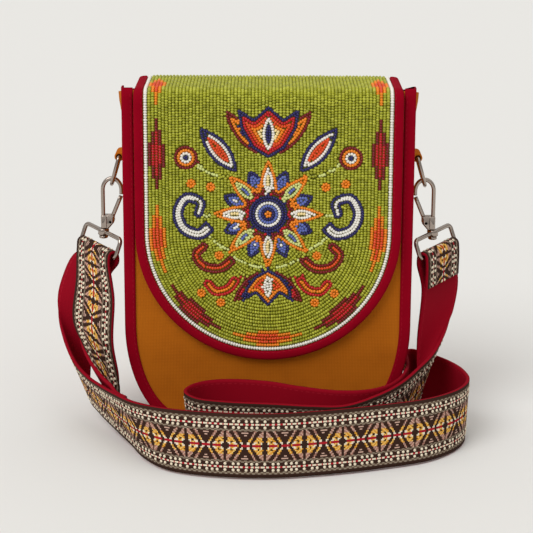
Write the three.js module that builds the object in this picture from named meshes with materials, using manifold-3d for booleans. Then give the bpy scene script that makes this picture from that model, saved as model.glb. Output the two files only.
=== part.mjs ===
import * as THREE from "three";
import { mergeVertices } from "three/addons/utils/BufferGeometryUtils.js";
import Module from "manifold-3d";

const wasm = await Module();
wasm.setup();

// Beaded crossbody bag: millimetres, +Z up, front towards -Y, origin on the base's centre.

// Bag body
const bagWidth = 178;
const bagDepth = 48;
const earTop = 215.5; // top of the front panel's corners beside the flap
const earRise = 7; // those corners over the mouth
const rearDrop = 8.6; // the back's top below those corners
const cornerAcross = 38;
const cornerUp = 66;
const panelThick = 2.5;
const gussetThick = 2;
const gussetDrop = 2; // its top below the panels' corners
const gussetBulge = 3.4; // how far its top bellies out
const gussetBulgeHeight = 27.5;
const liningThick = 1;
const bindingThick = 1.3;
const bindingFace = 7; // width on the panel
const bindingSide = 7.6; // width on the gusset
const seamGap = 0.3; // between sewn pieces
const mouthBindingDrop = 8;

// Flap
const flapHalf = 81.5;
const flapBottom = 45.8;
const flapCurveUp = 81.2; // height of the rounded lower edge
const flapRearEnd = 168;
const flapClear = 1.9; // from the front binding to the flap's cloth
const flapBendRadius = 6;
const flapRise = 1.8; // over the mouth's binding
const flapClothThick = 1.2;
const flapHemDrop = 6;
const beadHeight = 2;
const lanePitch = 2.07; // one ridge for each lane of beads
const laneDepth = 1.1;
const flapBindingFace = 5.9;
const flapBindingLip = 0.9;
const flapBindingWall = 1.5;
const flapBindingRise = 0.1; // above the beads
const edgingWidth = 2.1;
const motifThick = 0.9;

// Hardware
const hardwareZ = 170; // the bar of the D-ring
const tabWidth = 18;
const tabThick = 1.1;
const tabTail = 14;
const dRingWire = 2.4;
const dRingInnerWidth = 19;
const dRingDrop = 19.6; // bar to the bow, wire centres
const dRingTilt = 16;
const hookWire = 2.6;
const hookDepth = 3.4;
const hookBaseDepth = 6;
const hookHalfWidth = 5.8; // spine to the middle of the bow
const hookBowRise = 7.2;
const hookSpineDrop = 24.5; // bow's springing line to the base
const hookBaseHeight = 8.5;
const linkGap = 1; // hook over D-ring
const gateThick = 2;
const gateWidth = 2.6;
const gateNoseGap = 0.9;
const pinRadius = 0.9;
const runningGap = 0.3;
const shankRadius = 1.6;
const collarRadius = 3.5;
const collarHeight = 4;
const headRadius = 2.8;
const headHeight = 2;
const ringWire = 2.8;
const ringInnerWidth = 39.4;
const ringInnerHeight = 9.5;
const ringTurn = 54; // outer end swung away from the viewer
const ringLean = 20;
const ringDip = 3.4; // inner end lower

// Strap
const strapWidth = 38;
const strapThick = 2;
const strapFoldRadius = 3.3;
const strapTailLength = 19;
const strapStepsPerSpan = 2;
const strapLift = 0.5; // clear of the floor

// Materials
const material = (color, roughness, metalness = 0) =>
  new THREE.MeshStandardMaterial({ color, roughness, metalness });
const ochreCanvas = material(0xa86414, 0.9);
const redBinding = material(0x9a0620, 0.75);
const liningCloth = material(0x8c1a22, 0.9);
const greenBeads = material(0x8f9424, 0.45);
const whiteBeads = material(0xefece6, 0.4);
const orangeBeads = material(0xef7f1e, 0.4);
const scarletBeads = material(0xb01726, 0.4);
const navyBeads = material(0x24215c, 0.4);
const metal = material(0x8a7f78, 0.25, 1);
const wovenStrap = material(0x6b4a3c, 0.9);

const bag = new THREE.Group();

function addMesh(name, geometry, look) {
  const mesh = new THREE.Mesh(geometry, look);
  mesh.name = name;
  bag.add(mesh);
}

// Solids

function merged(geometry) {
  const bare = geometry.index ? geometry.clone() : geometry;
  bare.deleteAttribute("normal");
  bare.deleteAttribute("uv");
  return mergeVertices(bare, 1e-4);
}

function solid(geometry) {
  const shared = merged(geometry);
  const vertProperties = new Float32Array(shared.attributes.position.array);
  const triVerts = new Uint32Array(shared.index.array);
  return new wasm.Manifold(new wasm.Mesh({ numProp: 3, vertProperties, triVerts }));
}

function geometryOf(manifold) {
  const mesh = manifold.getMesh();
  const geometry = new THREE.BufferGeometry();
  geometry.setAttribute("position", new THREE.BufferAttribute(mesh.vertProperties, 3));
  geometry.setIndex(new THREE.BufferAttribute(mesh.triVerts, 1));
  return geometry;
}

function extruded(shape, depth, curveSegments = 10, bevel = 0, bevelSegments = 2) {
  return new THREE.ExtrudeGeometry(shape, {
    depth: depth - 2 * bevel,
    curveSegments,
    bevelEnabled: bevel > 0,
    bevelThickness: bevel,
    bevelSize: bevel,
    bevelOffset: -bevel,
    bevelSegments,
  }).translate(0, 0, bevel);
}

// A shape drawn in X and Z, standing from yFront back through depth.
function standing(shape, yFront, depth, curveSegments, bevel) {
  const geometry = extruded(shape, depth, curveSegments, bevel);
  return geometry.rotateX(Math.PI / 2).translate(0, yFront + depth, 0);
}

// A closed skin over a grid of points: outer and inner are [row][column] lists.
function skin(outer, inner) {
  const rows = outer.length;
  const columns = outer[0].length;
  const points = [...outer.flat(), ...inner.flat()];
  const indices = [];
  const at = (layer, r, c) => layer * rows * columns + r * columns + c;
  const quad = (a, b, c, d) => indices.push(a, b, c, a, c, d);
  for (let r = 0; r + 1 < rows; r++) {
    for (let c = 0; c + 1 < columns; c++) {
      quad(at(0, r, c), at(0, r, c + 1), at(0, r + 1, c + 1), at(0, r + 1, c));
      quad(at(1, r, c), at(1, r + 1, c), at(1, r + 1, c + 1), at(1, r, c + 1));
    }
    quad(at(0, r, 0), at(0, r + 1, 0), at(1, r + 1, 0), at(1, r, 0));
    const last = columns - 1;
    quad(at(0, r, last), at(1, r, last), at(1, r + 1, last), at(0, r + 1, last));
  }
  for (let c = 0; c + 1 < columns; c++) {
    quad(at(0, 0, c), at(1, 0, c), at(1, 0, c + 1), at(0, 0, c + 1));
    const last = rows - 1;
    quad(at(0, last, c), at(0, last, c + 1), at(1, last, c + 1), at(1, last, c));
  }
  const geometry = new THREE.BufferGeometry().setFromPoints(points);
  geometry.setIndex(indices);
  return withoutSlivers(mergeVertices(geometry, 1e-4));
}

function withoutSlivers(geometry) {
  const index = geometry.index.array;
  const kept = [];
  for (let i = 0; i < index.length; i += 3) {
    const [a, b, c] = index.slice(i, i + 3);
    if (a !== b && b !== c && c !== a) kept.push(a, b, c);
  }
  geometry.setIndex(kept);
  return geometry;
}

// Bag body outline, seen from the front

const bagHalf = bagWidth / 2;
const mouthTop = earTop - earRise;
const rearTop = earTop - rearDrop;

function bagOutline(inset, top) {
  const half = bagHalf - inset;
  const across = cornerAcross - inset;
  const up = cornerUp - inset;
  const shape = new THREE.Shape();
  shape.moveTo(half, top);
  shape.lineTo(-half, top);
  shape.lineTo(-half, cornerUp);
  shape.absellipse(-bagHalf + cornerAcross, cornerUp, across, up, Math.PI, 1.5 * Math.PI);
  shape.lineTo(bagHalf - cornerAcross, inset);
  shape.absellipse(bagHalf - cornerAcross, cornerUp, across, up, 1.5 * Math.PI, 2 * Math.PI);
  shape.lineTo(half, top);
  return shape;
}

const cornerSegments = 10;
const bindingInset = bindingThick + seamGap;
const panelFront = -bagDepth / 2 + seamGap;
const bindingFront = -bagDepth / 2 - bindingThick;
const flapNotchHalf = flapHalf + 2 * seamGap;

function addPanel(name, side, top) {
  const body = solid(standing(bagOutline(bindingInset, top), panelFront, panelThick, cornerSegments));
  const notchHeight = 4 * (earTop - mouthTop);
  const notch = new THREE.BoxGeometry(2 * flapNotchHalf, bagDepth, notchHeight);
  notch.translate(0, panelFront, mouthTop + notchHeight / 2);
  const geometry = geometryOf(body.subtract(solid(notch)));
  addMesh(name, side > 0 ? geometry : geometry.rotateZ(Math.PI), ochreCanvas);
}

function addPanelBinding(name, side, top) {
  const openTop = 2 * earTop;
  const face = solid(standing(bagOutline(0, top + seamGap), bindingFront, bindingThick, cornerSegments));
  const window = solid(
    standing(bagOutline(bindingFace, openTop), bindingFront - 1, bagDepth, cornerSegments),
  );
  const wall = solid(
    standing(bagOutline(0, top + seamGap), bindingFront, bindingSide + bindingThick, cornerSegments),
  );
  const inside = solid(
    standing(bagOutline(bindingThick, openTop), bindingFront - 1, bagDepth, cornerSegments),
  );
  const geometry = geometryOf(face.subtract(window).add(wall.subtract(inside)));
  addMesh(name, side > 0 ? geometry : geometry.rotateZ(Math.PI), redBinding);
}

// The gusset runs down one side, under the base and up the other. Its top falls towards the back.
function addGusset() {
  const corner = (centreX, from) =>
    Array.from({ length: cornerSegments + 1 }, (_, i) => {
      const angle = from + (i / cornerSegments) * (Math.PI / 2);
      return { x: centreX, z: cornerUp, rise: 0, cos: Math.cos(angle), sin: Math.sin(angle) };
    });
  const gussetTop = earTop - gussetDrop;
  const sideHeights = [1, 0.5, 0].map((rise) => ({ rise, z: gussetTop + (rise - 1) * gussetBulgeHeight }));
  const left = sideHeights.map((h) => ({ x: -bagHalf + cornerAcross, cos: -1, sin: 0, ...h }));
  const right = sideHeights.map((h) => ({ x: bagHalf - cornerAcross, cos: 1, sin: 0, ...h })).reverse();
  const stations = [
    ...left,
    ...corner(-bagHalf + cornerAcross, Math.PI),
    ...corner(bagHalf - cornerAcross, 1.5 * Math.PI),
    ...right,
  ];
  const halfDepth = bagDepth / 2 - seamGap - panelThick - seamGap;
  const underBinding = bagDepth / 2 - bindingSide - seamGap;
  const proudHalf = underBinding - 2 * bindingInset;
  const rows = [-halfDepth, -underBinding, -proudHalf, -proudHalf / 2, 0];
  const acrossRows = [...rows, ...rows.slice(0, -1).map((y) => -y).reverse()];
  const inset = (y, rise) => {
    if (Math.abs(y) > proudHalf + seamGap) return bindingInset;
    return -gussetBulge * rise * (1 - (y / underBinding) ** 2);
  };
  const place = (station, y, depth) => {
    const d = inset(y, station.rise) + depth;
    const x = station.x + station.cos * (cornerAcross - d);
    const fall = station.rise * rearDrop * (y / halfDepth + 1) / 2;
    return new THREE.Vector3(x, y, station.z - fall + station.sin * (cornerUp - d));
  };
  const grid = (depth) => acrossRows.map((y) => stations.map((s) => place(s, y, depth)));
  addMesh("gusset", skin(grid(gussetThick), grid(0)), ochreCanvas);
}

function addBagLining() {
  const outset = bindingInset + gussetThick + 2 * seamGap;
  const halfDepth = bagDepth / 2 - panelThick - 2 * seamGap;
  const liningTop = mouthTop - mouthBindingDrop - 2 * seamGap;
  const outer = solid(standing(bagOutline(outset, liningTop), -halfDepth, 2 * halfDepth, cornerSegments));
  const innerDepth = 2 * (halfDepth - liningThick);
  const hollow = bagOutline(outset + liningThick, 2 * liningTop);
  const inner = solid(standing(hollow, -innerDepth / 2, innerDepth, cornerSegments));
  addMesh("bag_lining", geometryOf(outer.subtract(inner)), liningCloth);
}

// Red binding folded over the front panel's top edge, drawn as a section in Y and Z.
function addMouthBinding() {
  const half = flapHalf - flapBindingFace - seamGap;
  const front = panelFront - seamGap - bindingThick;
  const back = panelFront + panelThick + seamGap + bindingThick;
  const top = mouthTop + seamGap + bindingThick;
  const low = mouthTop - mouthBindingDrop;
  const section = new THREE.Shape();
  section.moveTo(front, low);
  section.lineTo(front + bindingThick, low);
  section.lineTo(front + bindingThick, top - bindingThick);
  section.lineTo(back - bindingThick, top - bindingThick);
  section.lineTo(back - bindingThick, low);
  section.lineTo(back, low);
  section.lineTo(back, top);
  section.lineTo(front, top);
  addMesh("mouth_binding", alongX(section, half), redBinding);
}

// A section drawn in Y and Z, drawn out to half on each side of X = 0.
function alongX(section, half) {
  const turn = new THREE.Matrix4().makeBasis(
    new THREE.Vector3(0, 1, 0),
    new THREE.Vector3(0, 0, 1),
    new THREE.Vector3(1, 0, 0),
  );
  return extruded(section, 2 * half).translate(0, 0, -half).applyMatrix4(turn);
}

// Flap: layers stacked on one path that climbs the back, crosses the top and falls down the front.

const flapFrontY = bindingFront - flapClear;
const flapBackY = bagDepth / 2 + bindingThick + seamGap + flapBindingLip + seamGap;
const flapTopZ = mouthTop + bindingThick + 2 * seamGap + flapBindingLip + flapRise;
const beadUnder = flapClothThick + seamGap;
const beadTop = beadUnder + beadHeight;
const bendSegments = 4;

// Points of the path in Y and Z, from the rear end to the front's foot, offset outwards from the underside.
function flapPath(offset, frontFoot, rearEnd = flapRearEnd) {
  const radius = flapBendRadius + offset;
  const bend = (centreY, from) =>
    Array.from({ length: bendSegments + 1 }, (_, i) => {
      const angle = from + (i / bendSegments) * (Math.PI / 2);
      const z = flapTopZ - flapBendRadius + radius * Math.sin(angle);
      return new THREE.Vector2(centreY + radius * Math.cos(angle), z);
    });
  return [
    new THREE.Vector2(flapBackY + offset, rearEnd),
    ...bend(flapBackY - flapBendRadius, 0),
    ...bend(flapFrontY + flapBendRadius, Math.PI / 2),
    new THREE.Vector2(flapFrontY - offset, frontFoot),
  ];
}

function flapLayer(low, high, half, frontFoot, rearEnd) {
  const section = new THREE.Shape([
    ...flapPath(low, frontFoot, rearEnd),
    ...flapPath(high, frontFoot, rearEnd).reverse(),
  ]);
  return solid(alongX(section, half));
}

const flapCurveSegments = 16;

function flapOutline(inset) {
  const half = flapHalf - inset;
  const centreZ = flapBottom + flapCurveUp;
  const shape = new THREE.Shape();
  shape.moveTo(half, 2 * earTop);
  shape.lineTo(-half, 2 * earTop);
  shape.lineTo(-half, centreZ);
  shape.absellipse(0, centreZ, half, flapCurveUp - inset, Math.PI, 2 * Math.PI);
  shape.lineTo(half, 2 * earTop);
  return shape;
}

const flapBlock = (inset) =>
  solid(standing(flapOutline(inset), -2 * bagDepth, 4 * bagDepth, flapCurveSegments));

const flapFoot = flapBottom / 2;
const clothInset = flapBindingWall + seamGap;
const edgingInset = flapBindingFace + seamGap;
const fieldInset = edgingInset + edgingWidth + seamGap;

function addFlapCloth() {
  const cloth = flapLayer(0, flapClothThick, flapHalf, flapFoot);
  addMesh("flap_lining", geometryOf(cloth.intersect(flapBlock(clothInset))), liningCloth);
}

function addFlapBinding() {
  const roll = flapLayer(-flapBindingLip - seamGap, beadTop + flapBindingRise, flapHalf, flapFoot);
  const channel = flapLayer(-seamGap, beadUnder, flapHalf, flapFoot / 2, flapRearEnd - 1);
  const rim = roll.intersect(flapBlock(0)).subtract(flapBlock(flapBindingFace));
  const slot = channel.intersect(flapBlock(flapBindingWall));
  addMesh("flap_binding", geometryOf(rim.subtract(slot)), redBinding);
}

function addWhiteEdging() {
  const row = flapLayer(beadUnder, beadTop, flapHalf, flapFoot);
  const rim = row.intersect(flapBlock(edgingInset)).subtract(flapBlock(edgingInset + edgingWidth));
  addMesh("white_edging", geometryOf(rim), whiteBeads);
}

function addRearHem() {
  const front = bagDepth / 2;
  const back = flapBackY + beadTop + flapBindingRise;
  const hem = new THREE.BoxGeometry(2 * flapHalf, back - front, flapHemDrop);
  hem.translate(0, (front + back) / 2, flapRearEnd - seamGap - flapHemDrop / 2);
  addMesh("flap_rear_hem", hem, redBinding);
}

// The green bead ground: lanes nested inside the flap's outline, each with a ridge.
function addBeadField() {
  const centreZ = flapBottom + flapCurveUp;
  const half = flapHalf - fieldInset;
  const laneCount = Math.round(half / lanePitch);
  const step = half / laneCount / 2;
  const spine = flapPath(0, centreZ);
  const outward = spine.map((p, i) => flapPath(1, centreZ)[i].clone().sub(p));
  const row = (d, height) => {
    const wide = half - d;
    const deep = flapCurveUp - fieldInset - (d * (flapCurveUp - fieldInset)) / half;
    const limb = (side) =>
      spine.map((p, i) => {
        const yz = p.clone().addScaledVector(outward[i], height);
        return new THREE.Vector3(side * wide, yz.x, yz.y);
      });
    const arc = Array.from({ length: flapCurveSegments - 1 }, (_, i) => {
      const angle = Math.PI * (1 + (i + 1) / flapCurveSegments);
      const z = centreZ + deep * Math.sin(angle);
      return new THREE.Vector3(wide * Math.cos(angle), flapFrontY - height, z);
    });
    return [...limb(-1), ...arc, ...limb(1).reverse()];
  };
  const ridge = (k) => (k % 2 ? beadTop : beadTop - laneDepth);
  const rows = Array.from({ length: 2 * laneCount + 1 }, (_, k) => k);
  const outer = rows.map((k) => row(k * step, ridge(k)));
  const inner = rows.map((k) => row(k * step, beadUnder));
  addMesh("bead_field", skin(outer, inner), greenBeads);
}

// Beadwork motifs: flat colour fields on the front of the flap, drawn across and up the bead ground.

const motifFloor = flapFrontY - beadTop - seamGap;
const fieldHalf = flapHalf - fieldInset;
const fieldFoot = flapBottom + fieldInset;
const fieldRise = flapTopZ - flapBendRadius - fieldFoot;
const artPerHalf = 100; // the motifs' own units over the field's half width
const artPerRise = 210.2; // and up its flat front

function addMotif(name, shape, look, level = 0) {
  const front = motifFloor - motifThick - level * (motifThick + seamGap);
  const onField = shape.getPoints(6).map(({ x, y }) => {
    return new THREE.Vector2((x * fieldHalf) / artPerHalf, fieldFoot + (y * fieldRise) / artPerRise);
  });
  addMesh(name, standing(new THREE.Shape(onField), front, motifThick), look);
}

// A stepped lozenge turned by angle degrees, as woven bead diamonds are.
function lozenge(x, z, length, width, angle) {
  const steps = [
    [0.5, 0.1],
    [0.34, 0.3],
    [0.18, 0.5],
  ];
  const corner = [];
  steps.forEach(([along, across], i) => {
    const inner = i + 1 < steps.length ? steps[i + 1][0] : -steps[steps.length - 1][0];
    corner.push([across, along], [across, inner]);
  });
  const right = corner.slice(0, -1);
  const lowerRight = right.map(([a, b]) => [a, -b]).reverse();
  const half = [...right, ...lowerRight];
  const outline = [...half, ...half.map(([a, b]) => [-a, -b])];
  const turn = THREE.MathUtils.degToRad(angle);
  const points = outline.map(([a, b]) => {
    const p = new THREE.Vector2(a * width, b * length);
    return p.rotateAround(new THREE.Vector2(), turn).add(new THREE.Vector2(x, z));
  });
  return new THREE.Shape(points);
}

// A pointed leaf from its root to its tip.
function leaf(rootX, rootZ, tipX, tipZ, width) {
  const root = new THREE.Vector2(rootX, rootZ);
  const tip = new THREE.Vector2(tipX, tipZ);
  const middle = root.clone().lerp(tip, 0.45);
  const side = tip.clone().sub(root).normalize().rotateAround(new THREE.Vector2(), Math.PI / 2);
  const left = middle.clone().addScaledVector(side, width);
  const right = middle.clone().addScaledVector(side, -width);
  const shape = new THREE.Shape();
  shape.moveTo(root.x, root.y);
  shape.quadraticCurveTo(right.x, right.y, tip.x, tip.y);
  shape.quadraticCurveTo(left.x, left.y, root.x, root.y);
  return shape;
}

// A band of even width along a bent path.
function band(points, width) {
  const curve = new THREE.SplineCurve(points.map(([x, z]) => new THREE.Vector2(x, z)));
  const samples = curve.getPoints(4 * (points.length - 1));
  const edge = (sign) =>
    samples.map((p, i) => {
      const before = samples[Math.max(i - 1, 0)];
      const after = samples[Math.min(i + 1, samples.length - 1)];
      const along = after.clone().sub(before).normalize();
      return p.clone().add(new THREE.Vector2(-along.y, along.x).multiplyScalar((sign * width) / 2));
    });
  return new THREE.Shape([...edge(1), ...edge(-1).reverse()]);
}

// A star of pointed petals round a centre, by radius over angle.
function star(x, z, hub, tip, petals) {
  const points = [];
  const spread = 180 / petals;
  for (let angle = 0; angle < 360; angle += 5) {
    const away = Math.abs(((angle + spread) % (2 * spread)) - spread);
    const reach = hub + (tip - hub) * (1 - away / spread) ** 1.3;
    const turn = THREE.MathUtils.degToRad(angle);
    points.push(new THREE.Vector2(x + reach * Math.cos(turn), z + reach * Math.sin(turn)));
  }
  return new THREE.Shape(points);
}

const mirrored = (points) => points.map(([x, z]) => [-x, z]);

// A three-pointed cup from its foot, given its right side from the foot to the middle point.
function tulip(foot, side) {
  const outline = [[0, foot], ...side, ...mirrored(side).reverse().slice(1)];
  return new THREE.Shape(outline.map(([x, z]) => new THREE.Vector2(x, z)));
}

function addMotifs() {
  const lozenges = [
    ["top", 95.3, 203.2, 12.4, 8.3, 0, orangeBeads],
    ["upper", 94.5, 163.1, 60.8, 10.5, 0, scarletBeads],
    ["side", 92, 92.7, 55.2, 12.4, -8, orangeBeads],
    ["lower", 59.4, 33.3, 55.2, 12.4, -50, scarletBeads],
  ];
  for (const [name, x, z, length, width, angle, look] of lozenges) {
    addMotif(`left_${name}_lozenge`, lozenge(-x, z, length, width, -angle), look);
    addMotif(`right_${name}_lozenge`, lozenge(x, z, length, width, angle), look);
  }
  addMotif("foot_lozenge", lozenge(0, 8.4, 58, 11, 90), orangeBeads);
  const flower = [0, 116.5];
  addMotif("star_petals", star(...flower, 19.2, 45.3, 8), scarletBeads);
  const core = new THREE.Shape().absarc(...flower, 15.8, 0, 2 * Math.PI);
  addMotif("flower_core", core, navyBeads, 1);
  const budSide = [[13.7, 172.9], [23.3, 189.4], [26.1, 207.3], [12.3, 197.7], [0, 208.7]];
  addMotif("bud", tulip(164.2, budSide), scarletBeads);
  const cupSide = [[11, 62.8], [19.2, 51.8], [21.3, 39.4], [10.3, 46.9], [0, 35.2]];
  addMotif("flower_cup", tulip(68.8, cupSide), orangeBeads);
  const scroll = [
    [-48, 106.8], [-57.6, 99.2], [-70.6, 104.1], [-75.4, 117.8],
    [-68.6, 130.2], [-56.9, 126.8], [-58.3, 117.1],
  ];
  const tendril = [[-28.8, 77.9], [-39.8, 69.7], [-53.5, 71], [-60.4, 80.7], [-54.2, 88.2]];
  const lowTendril = [[-26.1, 61.4], [-32.9, 51.8], [-43.9, 49], [-50.8, 55.9]];
  for (const [side, flip] of [["left", (p) => p], ["right", mirrored]]) {
    const sign = side === "left" ? -1 : 1;
    addMotif(`${side}_scroll`, band(flip(scroll), 8.2), navyBeads);
    addMotif(`${side}_flame`, leaf(sign * 26.1, 152.2, sign * 57.6, 190.8, 16.5), orangeBeads);
    addMotif(`${side}_tendril`, band(flip(tendril), 6.9), scarletBeads);
    addMotif(`${side}_low_tendril`, band(flip(lowTendril), 6.2), orangeBeads);
  }
}

// Hardware on one side: side is -1 on the left and 1 on the right. Drawn for the left and mirrored.

const outwards = bagHalf + seamGap;
const tabHole = dRingWire / 2 + runningGap + seamGap;
const barX = -outwards - tabHole - tabThick;
const tilt = THREE.MathUtils.degToRad(dRingTilt);
const bowX = barX - dRingDrop * Math.sin(tilt);
const bowZ = hardwareZ - dRingDrop * Math.cos(tilt);
const hookTopZ = bowZ + dRingWire / 2 + linkGap + hookWire / 2; // middle of the bow's wire
const springZ = hookTopZ - hookBowRise;
const noseEndZ = springZ - hookWire;
const hookBaseZ = springZ - hookSpineDrop;
const spineX = bowX - hookHalfWidth;
const noseX = bowX + hookHalfWidth;
const swivelX = spineX;
const pivotX = spineX + hookHalfWidth - hookWire / 2;
const pivotZ = hookBaseZ + hookBaseHeight / 2;
const collarTopZ = hookBaseZ - runningGap;
const ringBarZ = collarTopZ - collarHeight / 2;

function mirrorFor(side, geometry) {
  if (side < 0) return geometry;
  const flipped = geometry.index ? geometry : merged(geometry);
  flipped.scale(-1, 1, 1);
  const index = flipped.index.array;
  for (let i = 0; i < index.length; i += 3) {
    [index[i], index[i + 1]] = [index[i + 1], index[i]];
  }
  return flipped;
}

function tabGeometry() {
  const radius = tabHole + tabThick;
  const shape = new THREE.Shape();
  shape.moveTo(-outwards, hardwareZ);
  shape.lineTo(-outwards, hardwareZ + tabTail);
  shape.lineTo(-outwards - tabThick, hardwareZ + tabTail);
  shape.lineTo(-outwards - tabThick, hardwareZ + radius);
  shape.absarc(barX, hardwareZ, radius, Math.PI / 2, 2 * Math.PI);
  shape.holes.push(new THREE.Path().absarc(barX, hardwareZ, tabHole, 0, 2 * Math.PI, true));
  return standing(shape, -tabWidth / 2, tabWidth, 8);
}

// The D-ring's outline in its own plane, bar at the top, with the wire's section rounded by a bevel.
function dRingGeometry() {
  const loop = (grow) => {
    const half = dRingInnerWidth / 2 + grow;
    const bowCentre = -dRingDrop + dRingWire / 2 + dRingInnerWidth / 2;
    const path = new THREE.Shape();
    path.moveTo(half, -dRingWire / 2 + grow);
    path.lineTo(-half, -dRingWire / 2 + grow);
    path.lineTo(-half, bowCentre);
    path.absarc(0, bowCentre, half, Math.PI, 2 * Math.PI);
    return path;
  };
  const shape = loop(dRingWire);
  shape.holes.push(loop(0));
  const geometry = extruded(shape, dRingWire, 8, dRingWire * 0.3, 1).translate(0, 0, -dRingWire / 2);
  const lay = new THREE.Matrix4().makeBasis(
    new THREE.Vector3(0, 1, 0),
    new THREE.Vector3(0, 0, 1),
    new THREE.Vector3(1, 0, 0),
  );
  return geometry.applyMatrix4(lay).rotateY(tilt).translate(barX, 0, hardwareZ);
}

function cylinder(radius, lowZ, highZ, x, sides = 16) {
  const geometry = new THREE.CylinderGeometry(radius, radius, highZ - lowZ, sides);
  return solid(geometry.rotateX(Math.PI / 2).translate(x, 0, (lowZ + highZ) / 2));
}

function crossPin(radius, depth, sides = 12) {
  const geometry = new THREE.CylinderGeometry(radius, radius, depth, sides);
  return geometry.translate(pivotX, 0, 0).translate(0, 0, pivotZ);
}

// Hook: a bowed wire on a forked base, with a shank that turns in the ring's collar.
function hookGeometry() {
  const bowSegments = 12;
  const middle = [new THREE.Vector2(spineX, hookBaseZ + hookWire)];
  for (let i = 0; i <= bowSegments; i++) {
    const angle = Math.PI * (1 - i / bowSegments);
    const x = bowX + hookHalfWidth * Math.cos(angle);
    middle.push(new THREE.Vector2(x, springZ + hookBowRise * Math.sin(angle)));
  }
  middle.push(new THREE.Vector2(noseX, noseEndZ));
  const edge = (sign) =>
    middle.map((p, i) => {
      const before = middle[Math.max(i - 1, 0)];
      const after = middle[Math.min(i + 1, middle.length - 1)];
      const along = after.clone().sub(before).normalize();
      return p.clone().add(new THREE.Vector2(-along.y, along.x).multiplyScalar((sign * hookWire) / 2));
    });
  const bow = new THREE.Shape([...edge(1), ...edge(-1).reverse()]);
  const base = new THREE.Shape();
  const left = spineX - hookWire / 2;
  const right = pivotX + gateWidth;
  base.moveTo(left, hookBaseZ);
  base.lineTo(swivelX + collarRadius, hookBaseZ);
  base.lineTo(right, pivotZ);
  base.lineTo(right, hookBaseZ + hookBaseHeight);
  base.lineTo(left, hookBaseZ + hookBaseHeight);
  const bowBevel = hookWire * 0.25;
  const slotDepth = gateThick + 2 * runningGap;
  const slotWidth = 2 * hookHalfWidth;
  const slot = new THREE.BoxGeometry(slotWidth, slotDepth, 2 * hookBaseHeight);
  slot.translate(pivotX - gateWidth / 2 - runningGap + slotWidth / 2, 0, pivotZ + hookBaseHeight - gateWidth);
  const headTop = collarTopZ - collarHeight - runningGap;
  return geometryOf(
    solid(standing(bow, -hookDepth / 2, hookDepth, 1, bowBevel))
      .add(solid(standing(base, -hookBaseDepth / 2, hookBaseDepth, 1)))
      .subtract(solid(slot))
      .subtract(solid(crossPin(pinRadius + runningGap, 2 * hookBaseDepth)))
      .add(cylinder(shankRadius, headTop - headHeight / 2, hookBaseZ + 1, swivelX))
      .add(cylinder(headRadius, headTop - headHeight, headTop, swivelX)),
  );
}

// Gate: a straight lever from its pin to just under the hook's nose.
function gateGeometry() {
  const tip = new THREE.Vector2(noseX - runningGap, noseEndZ - gateNoseGap);
  const root = new THREE.Vector2(pivotX, pivotZ);
  const along = tip.clone().sub(root).normalize();
  const across = new THREE.Vector2(-along.y, along.x).multiplyScalar(gateWidth / 2);
  const shape = new THREE.Shape();
  const a = root.clone().sub(across);
  const b = tip.clone().sub(across).addScaledVector(along, -gateWidth / 2);
  const c = tip.clone().add(across).addScaledVector(along, -gateWidth / 4);
  const turn = Math.atan2(across.y, across.x);
  shape.moveTo(a.x, a.y);
  shape.lineTo(b.x, b.y);
  shape.lineTo(c.x, c.y);
  shape.absarc(root.x, root.y, gateWidth / 2, turn, turn + Math.PI);
  const lever = solid(standing(shape, -gateThick / 2, gateThick, 6));
  return geometryOf(lever.subtract(solid(crossPin(pinRadius + runningGap / 2, hookBaseDepth))));
}

const ringUp = ringInnerHeight + ringWire;
const turnAngle = THREE.MathUtils.degToRad(ringTurn);
const leanAngle = THREE.MathUtils.degToRad(ringLean);
const dipAngle = THREE.MathUtils.degToRad(ringDip);
const inwardBar = new THREE.Vector3(
  Math.cos(turnAngle) * Math.cos(dipAngle),
  -Math.sin(turnAngle) * Math.cos(dipAngle),
  -Math.sin(dipAngle),
);
const nearSide = new THREE.Vector3(-Math.sin(turnAngle), -Math.cos(turnAngle), 0);
const ringAxisUp = new THREE.Vector3(0, 0, Math.cos(leanAngle));
ringAxisUp.addScaledVector(nearSide, -Math.sin(leanAngle));
const ringNormal = inwardBar.clone().cross(ringAxisUp).normalize();
const ringPlaneUp = ringNormal.clone().cross(inwardBar);
const ringTop = new THREE.Vector3(swivelX, 0, ringBarZ);
const ringFoot = ringTop.clone().addScaledVector(ringPlaneUp, -ringUp);

function roundedLoop(halfWidth, low, high, radius) {
  const path = new THREE.Shape();
  path.moveTo(halfWidth, high - radius);
  path.absarc(halfWidth - radius, high - radius, radius, 0, Math.PI / 2);
  path.absarc(-halfWidth + radius, high - radius, radius, Math.PI / 2, Math.PI);
  path.absarc(-halfWidth + radius, low + radius, radius, Math.PI, 1.5 * Math.PI);
  path.absarc(halfWidth - radius, low + radius, radius, 1.5 * Math.PI, 2 * Math.PI);
  return path;
}

// Strap ring: a rectangular wire ring cast with the collar that the hook's shank turns in.
function strapRingGeometry() {
  const halfWire = ringWire / 2;
  const outer = roundedLoop(ringInnerWidth / 2 + ringWire, -ringUp - halfWire, halfWire, ringWire * 1.4);
  outer.holes.push(roundedLoop(ringInnerWidth / 2, -ringUp + halfWire, -halfWire, ringWire * 0.4));
  const loop = extruded(outer, ringWire, 3, ringWire * 0.28, 1).translate(0, 0, -halfWire);
  const lay = new THREE.Matrix4().makeBasis(inwardBar, ringPlaneUp, ringNormal).setPosition(ringTop);
  return geometryOf(
    solid(loop.applyMatrix4(lay))
      .add(cylinder(collarRadius, collarTopZ - collarHeight, collarTopZ, swivelX))
      .subtract(cylinder(shankRadius + runningGap, collarTopZ - 2 * collarHeight, hookBaseZ, swivelX)),
  );
}

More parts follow.
